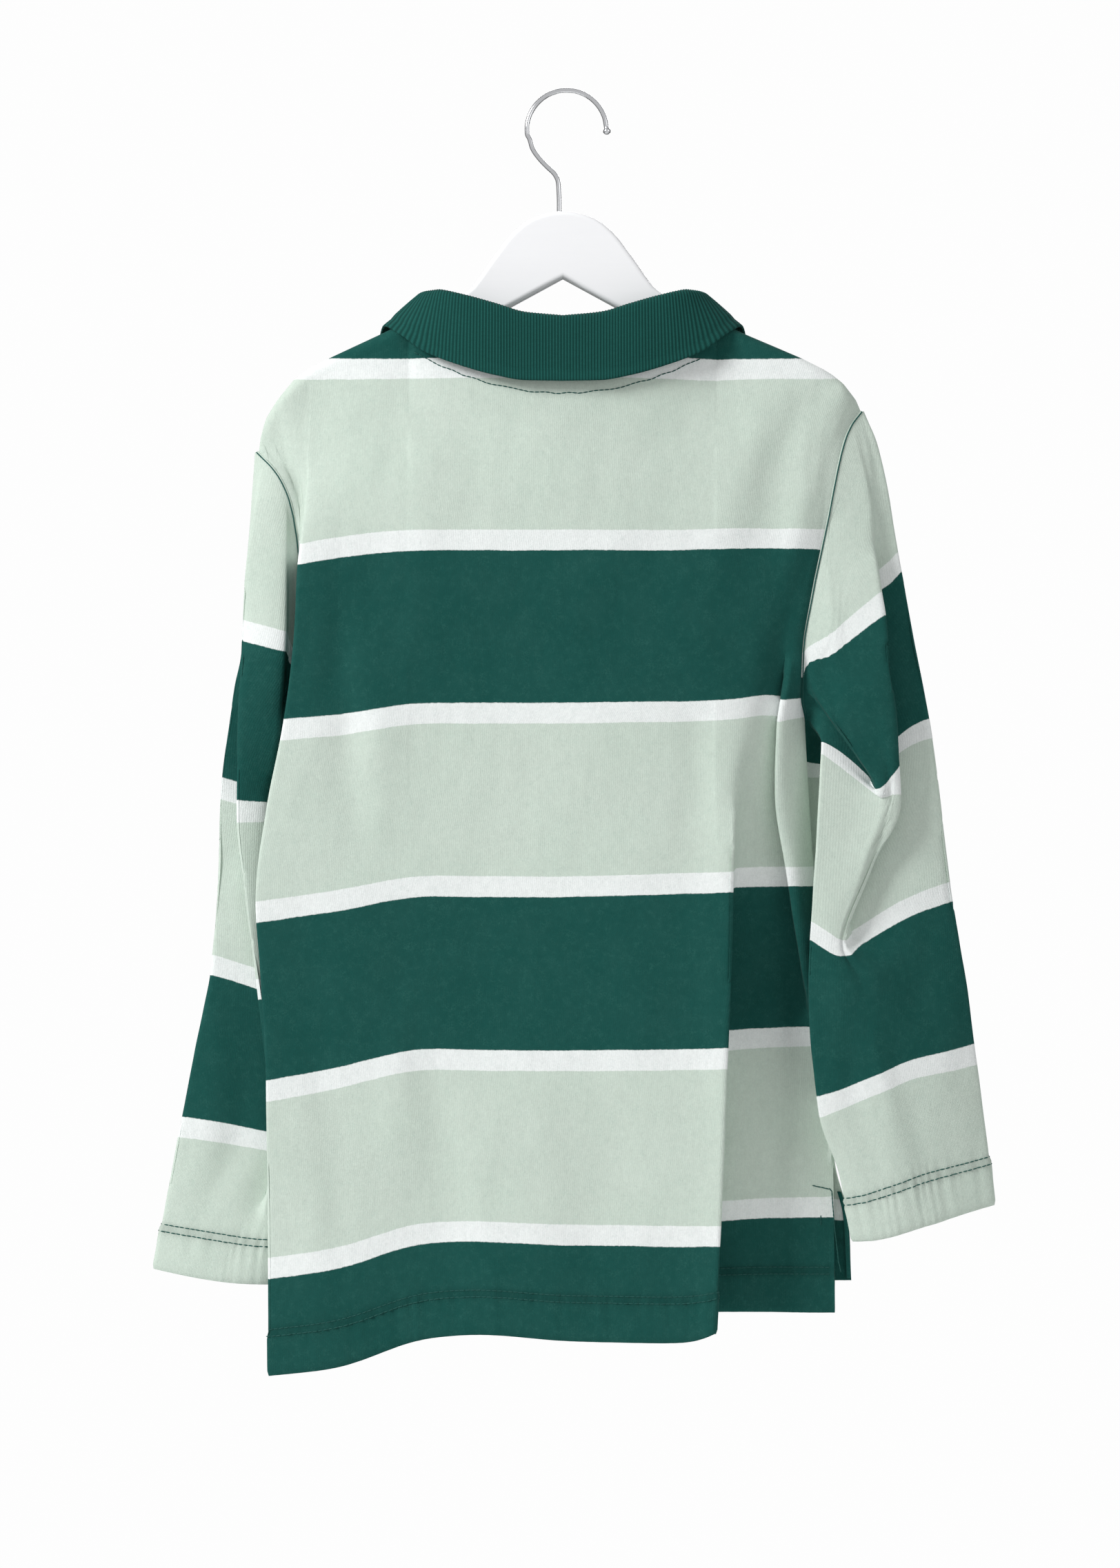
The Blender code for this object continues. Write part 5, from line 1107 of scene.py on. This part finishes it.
def buildCollar(finish):
    fine = np.linspace(0, collar["front"], 700)
    foldTable = np.array(collar["fold"])
    line = smoothCurve(foldTable[:, 0], foldTable[:, 1:], fine)
    along = alongLine(line)
    count = int(along[-1] / collar["ribPitch"]) * collar["perRib"]
    lengths = np.linspace(0, along[-1], count + 1)
    half = np.interp(lengths, along, fine)
    turned = np.concatenate([-half[::-1], half[1:]])
    lengths = np.concatenate([-lengths[::-1], lengths[1:]])
    places, ways, ribs = collarSections(np.abs(turned))
    side = np.sign(turned + 1e-9)
    phase = 2 * math.pi * lengths / collar["ribPitch"]
    wobble = np.array([noise.noise(Vector((one / 9.0, 3.3, 1.0))) for one in lengths])
    height = collar["ribHeight"] * (0.5 + 0.5 * np.cos(phase)) * (0.85 + 0.4 * wobble)
    places = places + ways * (ribs[:, None] * height[None, :])[..., None]
    # The fold waves very slightly, as a soft collar does.
    wave = np.array([noise.noise(Vector((one / 60.0, 8.0, 2.0))) for one in lengths])
    down = np.clip((-places[..., 2] - 118) / 40, 0, 1)
    places = places + ways * (0.5 * wave[None, :, None]) * down[..., None]
    places[..., 0] *= side
    sections = len(places)
    around = np.vstack([places, places[:1]])
    upAlong = alongLine(around[:, count])
    cut = np.stack([np.broadcast_to(lengths, around.shape[:2]),
                    np.broadcast_to(upAlong[:, None], around.shape[:2])], axis=2)
    bm = bmesh.new()
    bmesh.ops.create_grid(bm, x_segments=len(turned) - 1, y_segments=sections, size=0.5)
    bm.verts.ensure_lookup_table()
    for vert, place in zip(bm.verts, around.reshape(-1, 3) * mm):
        vert.co = place
    addUv(bm, cut)
    bmesh.ops.remove_doubles(bm, verts=bm.verts, dist=1e-7)
    openEdges = [edge for edge in bm.edges if edge.is_boundary]
    bmesh.ops.holes_fill(bm, edges=openEdges, sides=0)
    bmesh.ops.recalc_face_normals(bm, faces=bm.faces)
    return dress(shapeObject("collarPiece", bm), "collar", finish)


def ribFinish():
    finish = Finish("dark green flat-knit rib", Roughness=0.93, Sheen_Weight=0.03, Sheen_Roughness=0.5,
                    Specular_IOR_Level=0.1)
    across, down = finish.cut()
    place = finish.place()
    ridge = (across * (2 * math.pi / collar["ribPitch"]) + math.pi / 2).sine() * 0.5 + 0.5
    broken = finish.noise(finish.stretch(place, (260, 260, 900)), 1.0, 3.0, 0.6)
    cloud = finish.noise(place, 26, 3.0, 0.6)
    fibre = finish.noise(place, 1300, 2.0, 0.6)
    # painted light and shade: the ridges are coloured lighter and the grooves darker, as light falls on the
    # ribs
    lit = ridge * (0.85 + broken * 0.7)
    colour = finish.mix(lit, tones["ribGroovePaintedShade"], tones["ribRidgePaintedLight"])
    level = 1.0 + cloud * 0.22 + fibre * 0.2
    stitch = (down * (2 * math.pi / 0.95) + broken * 2).sine()
    height = ridge * 0.8 + stitch * ridge * 0.35 + fibre * 0.7
    return finish.drive(Base_Color=finish.shade(colour, level), Normal=finish.bump(height, 0.4, 0.25))


buildCollar(ribFinish())
print("collar ribbed")


# The placket: two bands along the front's middle, the upper one buttoned over the lower.
placket = {
    "bands": (("upperBand", "placket_over", 14, 212, 343, 1.6),
              ("lowerBand", "placket_under", 13, 212, 341, -2.4)),
    "wall": 1.0, "columns": 36, "rows": 150,
}
button = {"levels": (226, 262, 298), "radius": 6.0, "thick": 2.6, "holeOut": 1.45, "holeRadius": 0.75,
          "rim": 1.9, "dish": 0.6, "sides": 40}


def frontFace(x, level):   # places on the front near its middle, by distance from it and level
    return easedPlace(frontAll, np.interp(-x, [-50, 0, 50], [0.40, 0.50, 0.60]), level)


def buildBand(name, node, half, start, end, lift, finish):
    across = np.linspace(-half, half, placket["columns"])
    rows = []
    for level in np.linspace(start, end, placket["rows"]):
        place = frontFace(across, np.full(len(across), level))
        edge = np.clip((half - np.abs(across)) / 1.2, 0, 1)
        place[:, 1] += lift + 0.22 * np.sign(lift) * (edge - 1)
        place[:, 1] += np.sign(lift) * 0.16 * np.sin(level * 0.9 + 1.3 * np.sin(level * 0.21)) * (1 - edge)
        place[:, 0] = across
        rows.append(place)
    points = np.array(rows)[:, ::-1]   # from the wearer's right, so that it faces outwards
    cut = np.stack([np.broadcast_to(across, points.shape[:2]),
                    np.broadcast_to(np.linspace(start, end, placket["rows"])[:, None],
                                    points.shape[:2])], axis=2)
    made = sheetMesh(name, {"points": points, "cut": cut, "closed": False})
    giveWall(made, placket["wall"], 0.3)
    return dress(made, node, finish)


def buildButton(name, node, level, finish):   # four holes, a rim and a dished middle
    place = frontFace(np.array([0.0]), np.array([float(level)]))[0]
    lift = placket["bands"][0][5] + placket["wall"] / 2 + cloth["seam"]
    radius, thick, rim, dish = button["radius"], button["thick"], button["rim"], button["dish"]
    bm = bmesh.new()
    profile = ((radius - rim, 0, 0.0), (radius - 0.6, 0, 0.0), (radius - 0.15, 0, 0.4), (radius, 0, 0.9),
               (radius, 0, thick - 0.8), (radius - 0.2, 0, thick - 0.25), (radius - 0.7, 0, thick),
               (radius - rim + 0.5, 0, thick), (radius - rim, 0, thick - dish))
    verts = [bm.verts.new(Vector(one) * mm) for one in profile]
    edges = [bm.edges.new(pair) for pair in zip(verts, verts[1:])]
    bmesh.ops.spin(bm, geom=verts + edges, cent=(0, 0, 0), axis=(0, 0, 1), dvec=(0, 0, 0),
                   angle=2 * math.pi, steps=button["sides"], use_merge=True, use_duplicate=False)
    for height in (0.0, thick - dish):
        loop = [edge for edge in bm.edges if edge.is_boundary
                and all(abs(v.co.z - height * mm) < 1e-7 for v in edge.verts)]
        for k in range(4):
            turn = math.radians(45 + 90 * k)
            centre = Vector((math.cos(turn), math.sin(turn), 0)) * button["holeOut"] * mm
            ring = bmesh.ops.create_circle(bm, cap_ends=False, segments=10, radius=button["holeRadius"] * mm,
                                           matrix=Matrix.Translation(centre + Vector((0, 0, height * mm))))
            loop += list({edge for vert in ring["verts"] for edge in vert.link_edges})
        bmesh.ops.triangle_fill(bm, edges=loop, use_beauty=True)
    holes = [edge for edge in bm.edges if edge.is_boundary]
    bmesh.ops.bridge_loops(bm, edges=holes, use_pairs=False)
    for k in range(2):   # thread crossed through the holes
        turn = math.radians(45 + 90 * k)
        strand = Matrix.Translation((0, 0, (thick - dish + 0.25 + 0.2 * k) * mm))
        strand = strand @ Matrix.Rotation(turn, 4, "Z")
        bmesh.ops.create_uvsphere(bm, u_segments=8, v_segments=6, radius=mm,
                                  matrix=strand @ Matrix.Diagonal((2.1, 0.42, 0.42, 1)))
    bmesh.ops.recalc_face_normals(bm, faces=bm.faces)
    stand = Matrix.Translation((0, (place[1] + lift) * mm, place[2] * mm))
    upright = Matrix.Rotation(-math.pi / 2, 4, "X")
    bmesh.ops.transform(bm, matrix=stand @ upright, verts=bm.verts)
    return dress(shapeObject(name, bm, 45), node, finish)


def buttonFinish():
    finish = Finish("off-white button", Specular_IOR_Level=0.5, Coat_Roughness=0.15)
    place = finish.place()
    cloud = finish.noise(place, 210, 3.0, 0.5)
    speck = finish.noise(place, 1600, 2.0, 0.5)
    return finish.drive(Base_Color=finish.shade(finish.mix(cloud + 0.5, tones["button"], (0.86, 0.86, 0.83, 1)),
                                                1.0 + speck * 0.05),
                        Roughness=0.3 + speck * 0.15, Normal=finish.bump(speck, 0.15, 0.05))


for name, node, half, start, end, lift in placket["bands"]:
    buildBand(name, node, half, start, end, lift, greenJersey)
whiteButton = buttonFinish()
for k, level in enumerate(button["levels"]):
    node = "button_%d" % (k + 1)
    buildButton("button%d" % (k + 1), node, level, whiteButton)
print("placket buttoned")


# Facings on the insides of the side vents.
facing = {"wall": 1.0, "rows": 60, "columns": 8, "start": 14, "spare": 1.5}


def buildFacing(name, node, net, edgeShare, innerShare, end, finish):
    levels = np.linspace(body["ventTop"] + facing["start"], end - facing["spare"], facing["rows"])
    shares = np.linspace(edgeShare, innerShare, facing["columns"])
    rows = []
    for level in levels:
        here = easedPlace(net, shares, np.full(len(shares), level))
        above = easedPlace(net, shares, np.full(len(shares), level - 2))
        beside = easedPlace(net, shares + 0.004, np.full(len(shares), level))
        normal = unit(np.cross(beside - here, above - here))
        rows.append(here - normal * (cloth["wall"] / 2 + cloth["seam"] + facing["wall"] / 2 + 0.2))
    points = np.array(rows)
    cut = np.stack([np.broadcast_to(shares * cloth["bodyWidth"], points.shape[:2]),
                    np.broadcast_to(levels[:, None], points.shape[:2])], axis=2)
    made = sheetMesh(name, {"points": points, "cut": cut, "closed": False})
    giveWall(made, facing["wall"], 0.25)
    return dress(made, node, finish)


facings = (
    ("ventFacingBackRight", "vent_strip_back_right", backAll, 0.998, 0.982, body["backHem"]),
    ("ventFacingFrontRight", "vent_strip_front_right", frontAll, 0.002, 0.015, body["frontHem"]),
    ("ventFacingBackLeft", "vent_strip_back_left", backAll, 0.003, 0.022, body["backHem"]),
    ("ventFacingFrontLeft", "vent_strip_front_left", frontAll, 0.997, 0.978, body["frontHem"]),
)
for name, node, net, edgeShare, innerShare, end in facings:
    buildFacing(name, node, net, edgeShare, innerShare, end, greenJersey)
print("vents faced")


# Stitching: each stitch is a short thread that lies on the cloth.
stitch = {"pitch": 3.0, "length": 3.1, "radius": 0.34, "sink": -0.05}


def gridPlace(grid, across, down):   # a place and a way out of a finished piece of cloth
    cut, points, out = grid["cut"], grid["points"], grid["out"]
    column = int(np.argmin(np.abs(cut[0, :, 0] - across)))
    rows = cut[:, column, 1]
    row = float(np.interp(down, rows, np.arange(len(rows))))
    low = min(int(row), len(rows) - 2)
    t = row - low
    columns = cut[0, :, 0]
    step = 1 if columns[1] > columns[0] else -1
    beside = column + step if (across - columns[column]) > 0 else column - step
    beside = min(max(beside, 0), len(columns) - 1)
    gap = columns[beside] - columns[column]
    s = (across - columns[column]) / gap if abs(gap) > 1e-9 else 0.0

    def blend(table):
        here = table[low, column] * (1 - t) + table[low + 1, column] * t
        there = table[low, beside] * (1 - t) + table[low + 1, beside] * t
        return here * (1 - s) + there * s

    return blend(points), unit(blend(out))


def stitchLine(bm, places, ways, pitch):   # stitches laid along a line on the cloth
    places, ways = np.array(places), np.array(ways)
    along = alongLine(places)
    count = max(1, int(along[-1] / pitch))
    middles = (np.arange(count) + 0.5) * along[-1] / count
    for middle in middles:
        spot = np.array([np.interp(middle, along, places[:, k]) for k in range(3)])
        ahead = np.array([np.interp(middle + 0.8, along, places[:, k]) for k in range(3)])
        behind = np.array([np.interp(middle - 0.8, along, places[:, k]) for k in range(3)])
        out = unit(np.array([np.interp(middle, along, ways[:, k]) for k in range(3)]))
        x = unit(ahead - behind)
        z = square(out, x)
        y = np.cross(z, x)
        spot = spot + z * (cloth["wall"] / 2 - stitch["sink"])
        frameHere = Matrix(np.column_stack([x, y, z]).tolist()).to_4x4()
        size = Matrix.Diagonal((stitch["length"] / 2, stitch["radius"], stitch["radius"], 1))
        bmesh.ops.create_uvsphere(bm, u_segments=6, v_segments=4, radius=mm,
                                  matrix=Matrix.Translation(Vector(spot * mm)) @ frameHere @ size
                                  @ Matrix.Rotation(math.pi / 2, 4, "Y"))


def stitching(name, lines, finish, pitch=None):
    scratch = bpy.data.meshes.new("one line")
    whole = bmesh.new()
    for places, ways in lines:
        bm = bmesh.new()
        stitchLine(bm, places, ways, pitch or stitch["pitch"])
        bm.to_mesh(scratch)
        bm.free()
        whole.from_mesh(scratch)
    bpy.data.meshes.remove(scratch)
    return dress(shapeObject(name, whole), None, finish)


def clothLine(grid, spots):   # a line through spots given across and down the cloth
    found = [gridPlace(grid, across, down) for across, down in spots]
    return [place for place, out in found], [out for place, out in found]


def hemRows(grid, inset=0.0):
    columns = grid["cut"][0, :, 0]
    columns = [one for one in columns if grid["closed"] or inset < one < cloth["bodyWidth"] - inset]
    rows = []
    for row in (0.0, hem["second"]):
        rows.append(clothLine(grid, [(one, grid["hem"] - hem["depth"] + row) for one in columns]))
    return rows


def threadFinish():
    finish = Finish("dark green sewing thread", Roughness=0.75, Sheen_Weight=0.03, Specular_IOR_Level=0.15)
    place = finish.place()
    ply = finish.noise(place, 2600, 2.0, 0.6)
    colour = finish.mix(ply + 0.5, tones["thread"], tones["darkFaded"])
    return finish.drive(Base_Color=finish.shade(colour, 1.0 + ply * 0.3), Normal=finish.bump(ply, 0.3, 0.08))


thread = threadFinish()
stitching("backHemStitching", hemRows(backGrid, 6), thread)
stitching("frontHemStitching", hemRows(frontGrid, 6), thread)
stitching("rightCuffStitching", hemRows(rightGrid), thread)
stitching("leftCuffStitching", hemRows(leftGrid), thread)
print("hems and cuffs stitched")


# Armhole seams: the turned edge shows as a narrow roll between the body and the sleeve.
seamRoll = {"radius": 0.95, "sides": 8, "thread": 0.34}


def armholeLine(grid):   # the sleeve's own top edge, a closed line with its lengths down the sleeve
    edge, lengths = grid["points"][0], grid["cut"][0, :, 1]
    return np.vstack([edge, edge[:1]]), np.append(lengths, lengths[0])


def buildRoll(name, grid, inward, radius, finish, part=None, lift=(0, 0, 0)):
    line, lengths = armholeLine(grid)
    line = line + np.array((inward * 0.85, 0, 0)) + np.array(lift)
    if part is not None:
        keep = part(line)
        line, lengths = line[keep], lengths[keep]
    way = unit(np.gradient(line, axis=0) + 1e-9)
    side = unit(np.cross(way, np.array((1.0, 0.0, 0.0))) + 1e-9)
    other = np.cross(way, side)
    turns = np.linspace(0, 2 * math.pi, seamRoll["sides"] + 1)
    points = np.array([line + radius * (side * math.cos(one) + other * math.sin(one)) for one in turns])
    cut = np.stack([np.broadcast_to(turns[:, None] * radius, points.shape[:2]),
                    np.broadcast_to(lengths, points.shape[:2])], axis=2)
    made = sheetMesh(name, {"points": points, "cut": cut, "closed": False})
    bm = bmesh.new()
    bm.from_mesh(made.data)
    bmesh.ops.remove_doubles(bm, verts=bm.verts, dist=1e-6)
    bmesh.ops.holes_fill(bm, edges=[edge for edge in bm.edges if edge.is_boundary], sides=0)
    bmesh.ops.recalc_face_normals(bm, faces=bm.faces)
    bm.to_mesh(made.data)
    bm.free()
    made.data.shade_smooth()
    return dress(made, None, finish)


buildRoll("rightArmholeSeam", rightGrid, -1, seamRoll["radius"], sleeveJersey)
buildRoll("leftArmholeSeam", leftGrid, 1, seamRoll["radius"], sleeveJersey)
# Along the near side of each armhole a thin dark-green line stands for the seam's thread and, as painted shade,
# for the shadow in the seam.
for name, grid, inward in (("rightArmholeThreadAndShade", rightGrid, -1), ("leftArmholeThreadAndShade", leftGrid, 1)):
    buildRoll(name, grid, inward, seamRoll["thread"], thread,
              lambda line: line[:, 1] < np.median(line[:, 1]) - 0.5, (-inward * 0.5, -1.0, 0))


def onPanel(grid, x, z, side):   # the place on a panel's outer layer nearest to a height and a side
    points = grid["points"]
    away = (points[..., 0] - x) ** 2 + (points[..., 2] - z) ** 2
    near = np.argwhere(away < away.min() + 2.5)
    best = max(near, key=lambda one: side * points[one[0], one[1], 1])
    return points[best[0], best[1]] * (0, 1, 0) + np.array((x, 0, z)), grid["out"][best[0], best[1]]


def panelLine(grid, spots, side, spacing=1.5):   # a line over a panel through places (x, z)
    spots = np.array(spots, float)
    along = alongLine(spots)
    fine = np.linspace(0, along[-1], max(3, int(along[-1] / spacing)))
    found = [onPanel(grid, np.interp(one, along, spots[:, 0]), np.interp(one, along, spots[:, 1]), side)
             for one in fine]
    return [place for place, out in found], [out for place, out in found]


neckStitch = {"low": -172.0, "rise": 24.0, "half": 84.0, "ends": (-83.5, 77.0), "wobble": 0.35}
neckSpots = []
for x in np.linspace(*neckStitch["ends"], 60):
    wobble = neckStitch["wobble"] * math.sin(x * 0.37 + 1.3 * math.sin(x * 0.11))
    neckSpots.append((x, neckStitch["low"] + neckStitch["rise"] * (x / neckStitch["half"]) ** 2 + wobble))
stitching("neckTopstitch", [panelLine(backGrid, neckSpots, -1)], thread)

# At the right vent the back's stitching runs down beside the slit, with a bar tack at its top.
ventStitches = (
    ((141.3, -618.2), (151.5, -620.5), (152.2, -622.0), (153.6, -641.0), (156.0, -661.0), (157.6, -667.0)),
    ((145.9, -635.2), (145.9, -640.6)),
)
stitching("rightVentStitching", [panelLine(backGrid, spots, -1, 1.0) for spots in ventStitches],
          thread, 2.4)


def bandEdges(half, start, end, lift):   # topstitching round the upper band
    lines = []
    for corners in (((half, start), (half, end)), ((half, end), (-half, end)),
                    ((-half, end), (-half, start))):
        (x0, level0), (x1, level1) = corners
        count = 40
        across = np.linspace(x0, x1, count)
        places = frontFace(across, np.linspace(level0, level1, count))
        places[:, 0] = across
        places[:, 1] += lift - (cloth["wall"] - placket["wall"]) / 2
        lines.append((places, np.tile((0.0, 1.0, 0.0), (count, 1))))
    return lines


stitching("placketStitching", bandEdges(11.8, 214, 340.5, placket["bands"][0][5]), thread, 2.6)
print("seams rolled, neck, vents and placket topstitched")


# The hanger: a shaped board with rounded edges.
hanger = {
    "thick": 12.0, "bevel": 2.4,
    "outline": ((0, -67.7), (6, -68.1), (12, -69.5), (18, -71.8), (23, -75), (28, -79.4), (32.5, -84.5),
                (37, -90.7), (42, -97.5), (46.5, -104.2), (51, -110.2), (53, -112), (55, -113.5),
                (62, -118.2), (70, -123.2), (79, -128.3), (88, -133.3), (104, -141.2), (120, -149),
                (131, -154.2), (140, -159.2), (144, -161.6), (147.5, -164.2), (151, -166.6), (153.5, -169.4),
                (155.4, -172.2), (156.5, -175), (156.5, -178.4), (155.5, -181), (153.5, -183.1), (151, -184),
                (148.4, -183.7), (146, -182.5), (118, -168), (88, -152.5), (66, -141), (44, -129.3),
                (33, -123.2), (22, -117.2), (11, -111.2), (0, -105.2)),
}


def buildHanger(finish):
    right = hanger["outline"]
    outline = list(right) + [(-x, z) for x, z in right[-2:0:-1]]
    bm = bmesh.new()
    verts = [bm.verts.new((x * mm, -hanger["thick"] / 2 * mm, z * mm)) for x, z in outline]
    face = bm.faces.new(verts)
    moved = bmesh.ops.extrude_face_region(bm, geom=[face], use_keep_orig=True)
    lifted = [one for one in moved["geom"] if isinstance(one, bmesh.types.BMVert)]
    bmesh.ops.translate(bm, verts=lifted, vec=(0, hanger["thick"] * mm, 0))
    bmesh.ops.recalc_face_normals(bm, faces=bm.faces)
    rims = [edge for edge in bm.edges if abs(edge.verts[0].co.y - edge.verts[1].co.y) < 1e-6]
    bmesh.ops.bevel(bm, geom=rims, offset=hanger["bevel"] * mm, offset_type="OFFSET", segments=4,
                    profile=0.5, affect="EDGES", material=-1, clamp_overlap=True)
    broad = sorted(bm.faces, key=lambda one: one.calc_area())[-2:]
    bmesh.ops.inset_individual(bm, faces=broad, thickness=0.5 * mm, use_even_offset=True)
    return dress(shapeObject("hangerBoard", bm, 50), "hanger_body", finish)


def paintFinish():
    finish = Finish("white satin paint", Specular_IOR_Level=0.45)
    place = finish.place()
    grain = finish.noise(finish.stretch(place, (22, 160, 240)), 1.0, 4.0, 0.6)
    pore = finish.noise(place, 900, 2.0, 0.6)
    cloud = finish.noise(place, 14, 2.0, 0.5)
    return finish.drive(Base_Color=finish.shade(finish.mix(grain + 0.5, tones["paint"], (0.90, 0.905, 0.92, 1)),
                                                1.0 + cloud * 0.03),
                        Roughness=0.36 + grain * 0.14 + pore * 0.08,
                        Normal=finish.bump(grain * 0.6 + pore * 0.25, 0.25, 0.15))


buildHanger(paintFinish())


# The hook: plated wire, up from the board and round to a small ball.
hook = {
    "wire": 1.35, "radius": 22.5, "sides": 24, "centreX": 2.2,
    "firstAngle": 188, "stepAngle": 13.2, "steps": 15,
    "stem": ((-2.0, -67.3), (-2.0, -62), (-2.2, -56), (-2.6, -50.5), (-4.5, -46.2), (-8.5, -42.3),
             (-13.5, -37), (-17.2, -31.5), (-19.3, -25)),
    "ball": ((0.5, 1.15), (1.0, 1.45), (1.8, 1.7), (2.6, 1.6), (3.3, 1.2), (3.7, 0.6)),
}


def hookPath():   # the wire's middle, finely, with its thickness as a share of the wire's
    centreZ = -hook["radius"] + hook["wire"]
    path = list(hook["stem"])
    for k in range(hook["steps"]):
        angle = math.radians(hook["firstAngle"] - k * hook["stepAngle"])
        path.append((hook["centreX"] + hook["radius"] * math.cos(angle),
                     centreZ + hook["radius"] * math.sin(angle)))
    coarse = np.array(path)
    along = alongLine(coarse)
    fineAlong = np.linspace(0, along[-1], 150)
    fine = smoothCurve(along, coarse, fineAlong)
    for k in range(2):
        fine[1:-1] = (fine[:-2] + fine[1:-1] * 2 + fine[2:]) / 4
    way = (fine[-1] - fine[-2]) / np.linalg.norm(fine[-1] - fine[-2])
    outs = np.linspace(0.2, hook["ball"][-1][0], 16)
    ball = np.array(((0, 1),) + hook["ball"])
    sizes = np.interp(outs, ball[:, 0], ball[:, 1])
    points = np.vstack([fine, fine[-1] + way * outs[:, None]])
    return points, np.concatenate([np.ones(len(fine)), sizes])


def buildHook(finish):
    points, sizes = hookPath()
    ways = np.gradient(points, axis=0)
    bm = bmesh.new()
    ring = bmesh.ops.create_circle(bm, cap_ends=False, segments=hook["sides"], radius=mm)["verts"]
    edges = list(bm.edges)
    bmesh.ops.contextual_create(bm, geom=edges)
    last = Matrix.Identity(4)
    for k, (point, way, size) in enumerate(zip(points, ways, sizes)):
        turn = math.atan2(way[0], way[1])
        radius = hook["wire"] * size
        here = (Matrix.Translation((point[0] * mm, 0, point[1] * mm)) @ Matrix.Rotation(turn, 4, "Y")
                @ Matrix.Diagonal((radius, radius, radius, 1)))
        if k:
            grown = bmesh.ops.extrude_edge_only(bm, edges=edges)["geom"]
            ring = [one for one in grown if isinstance(one, bmesh.types.BMVert)]
            edges = [one for one in grown if isinstance(one, bmesh.types.BMEdge)]
        bmesh.ops.transform(bm, matrix=here @ last.inverted(), verts=ring)
        last = here
    bmesh.ops.contextual_create(bm, geom=edges)
    bmesh.ops.recalc_face_normals(bm, faces=bm.faces)
    return dress(shapeObject("hookWire", bm, 60), "hook", finish)


def chromeFinish():
    finish = Finish("bright plated wire", Metallic=1.0)
    place = finish.place()
    haze = finish.noise(place, 120, 3.0, 0.6)
    scratch = finish.noise(finish.stretch(place, (900, 900, 140)), 1.0, 2.0, 0.6)
    return finish.drive(Base_Color=finish.mix(haze + 0.5, tones["chrome"], (0.78, 0.79, 0.81, 1)),
                        Roughness=0.17 + haze * 0.08 + scratch * 0.06,
                        Normal=finish.bump(scratch, 0.08, 0.04))


buildHook(chromeFinish())
print("hanger and hook shaped")


# The studio: a pale floor, a white surround, one large soft light and a weak one.
studio = {
    "camera": (-0.0016, -2.0, -0.391), "lens": 81.2, "floorZ": -1.12, "floorSize": 1.5,
    "key": ((-2.2, -1.5, 1.25), 1.1, 84.0), "fill": ((1.9, -1.8, 0.1), 1.8, 8.0),
    "back": ((0.3, 2.2, 0.8), 1.6, 38.0), "surround": 0.46, "seen": 0.985, "before": 0.60, "behind": 0.05,
}


def softLight(name, place, size, power):
    data = bpy.data.lights.new(name, "AREA")
    data.shape = "DISK"
    data.size = size
    data.energy = power
    made = bpy.data.objects.new(name, data)
    made.location = place
    made.rotation_euler = (Vector((0, 0, -0.38)) - Vector(place)).to_track_quat("-Z", "Y").to_euler()
    bpy.context.scene.collection.objects.link(made)


bm = bmesh.new()
bmesh.ops.create_grid(bm, x_segments=12, y_segments=12, size=studio["floorSize"] / 2)
bmesh.ops.translate(bm, verts=bm.verts, vec=(0, 0, studio["floorZ"]))
floorMesh = bpy.data.meshes.new("floor")
bm.to_mesh(floorMesh)
bm.free()
floor = bpy.data.objects.new("floor", floorMesh)
bpy.context.scene.collection.objects.link(floor)
paleFloor = Finish("pale floor", Roughness=0.85)
floorSpeck = paleFloor.noise(paleFloor.place(), 30, 3.0, 0.5)
floorTone = paleFloor.shade((0.86, 0.86, 0.86, 1), 1.0 + floorSpeck * 0.02)
floorMesh.materials.append(paleFloor.drive(Base_Color=floorTone))

for name in ("key", "fill", "back"):
    softLight(name + "Light", *studio[name])
world = bpy.data.worlds.new("studio")
world.use_nodes = True
surround = world.node_tree.nodes["Background"]
surround.inputs["Color"].default_value = (1, 1, 1, 1)
sky = Nodes(world.node_tree)
lookWay = sky.node("ShaderNodeTexCoord", {}, {}, "Generated")
depthWay = sky.node("ShaderNodeSeparateXYZ", {}, {0: lookWay}, "Y")
gloss = sky.node("ShaderNodeMapRange", {}, {   # metal sees a room that darkens behind it
    "Value": depthWay, "From Min": -0.5, "From Max": 0.75,
    "To Min": studio["before"], "To Max": studio["behind"]})
strength = sky.node("ShaderNodeMix", {}, {
    "Factor": sky.node("ShaderNodeLightPath", {}, {}, "Is Glossy Ray"), "A": studio["surround"], "B": gloss})
strength = sky.node("ShaderNodeMix", {}, {   # the white that is seen outshines its light
    "Factor": sky.node("ShaderNodeLightPath", {}, {}, "Is Camera Ray"), "A": strength, "B": studio["seen"]})
sky.tree.links.new(strength.socket, surround.inputs["Strength"])
bpy.context.scene.world = world

cameraData = bpy.data.cameras.new("camera")
cameraData.lens = studio["lens"]
cameraData.sensor_fit = "AUTO"
cameraData.sensor_width = 36
camera = bpy.data.objects.new("camera", cameraData)
camera.location = studio["camera"]
camera.rotation_euler = (math.radians(90), 0, 0)
bpy.context.scene.collection.objects.link(camera)
bpy.context.scene.camera = camera
bpy.context.scene.view_settings.view_transform = "Standard"   # true cloth colours
print("studio lit")
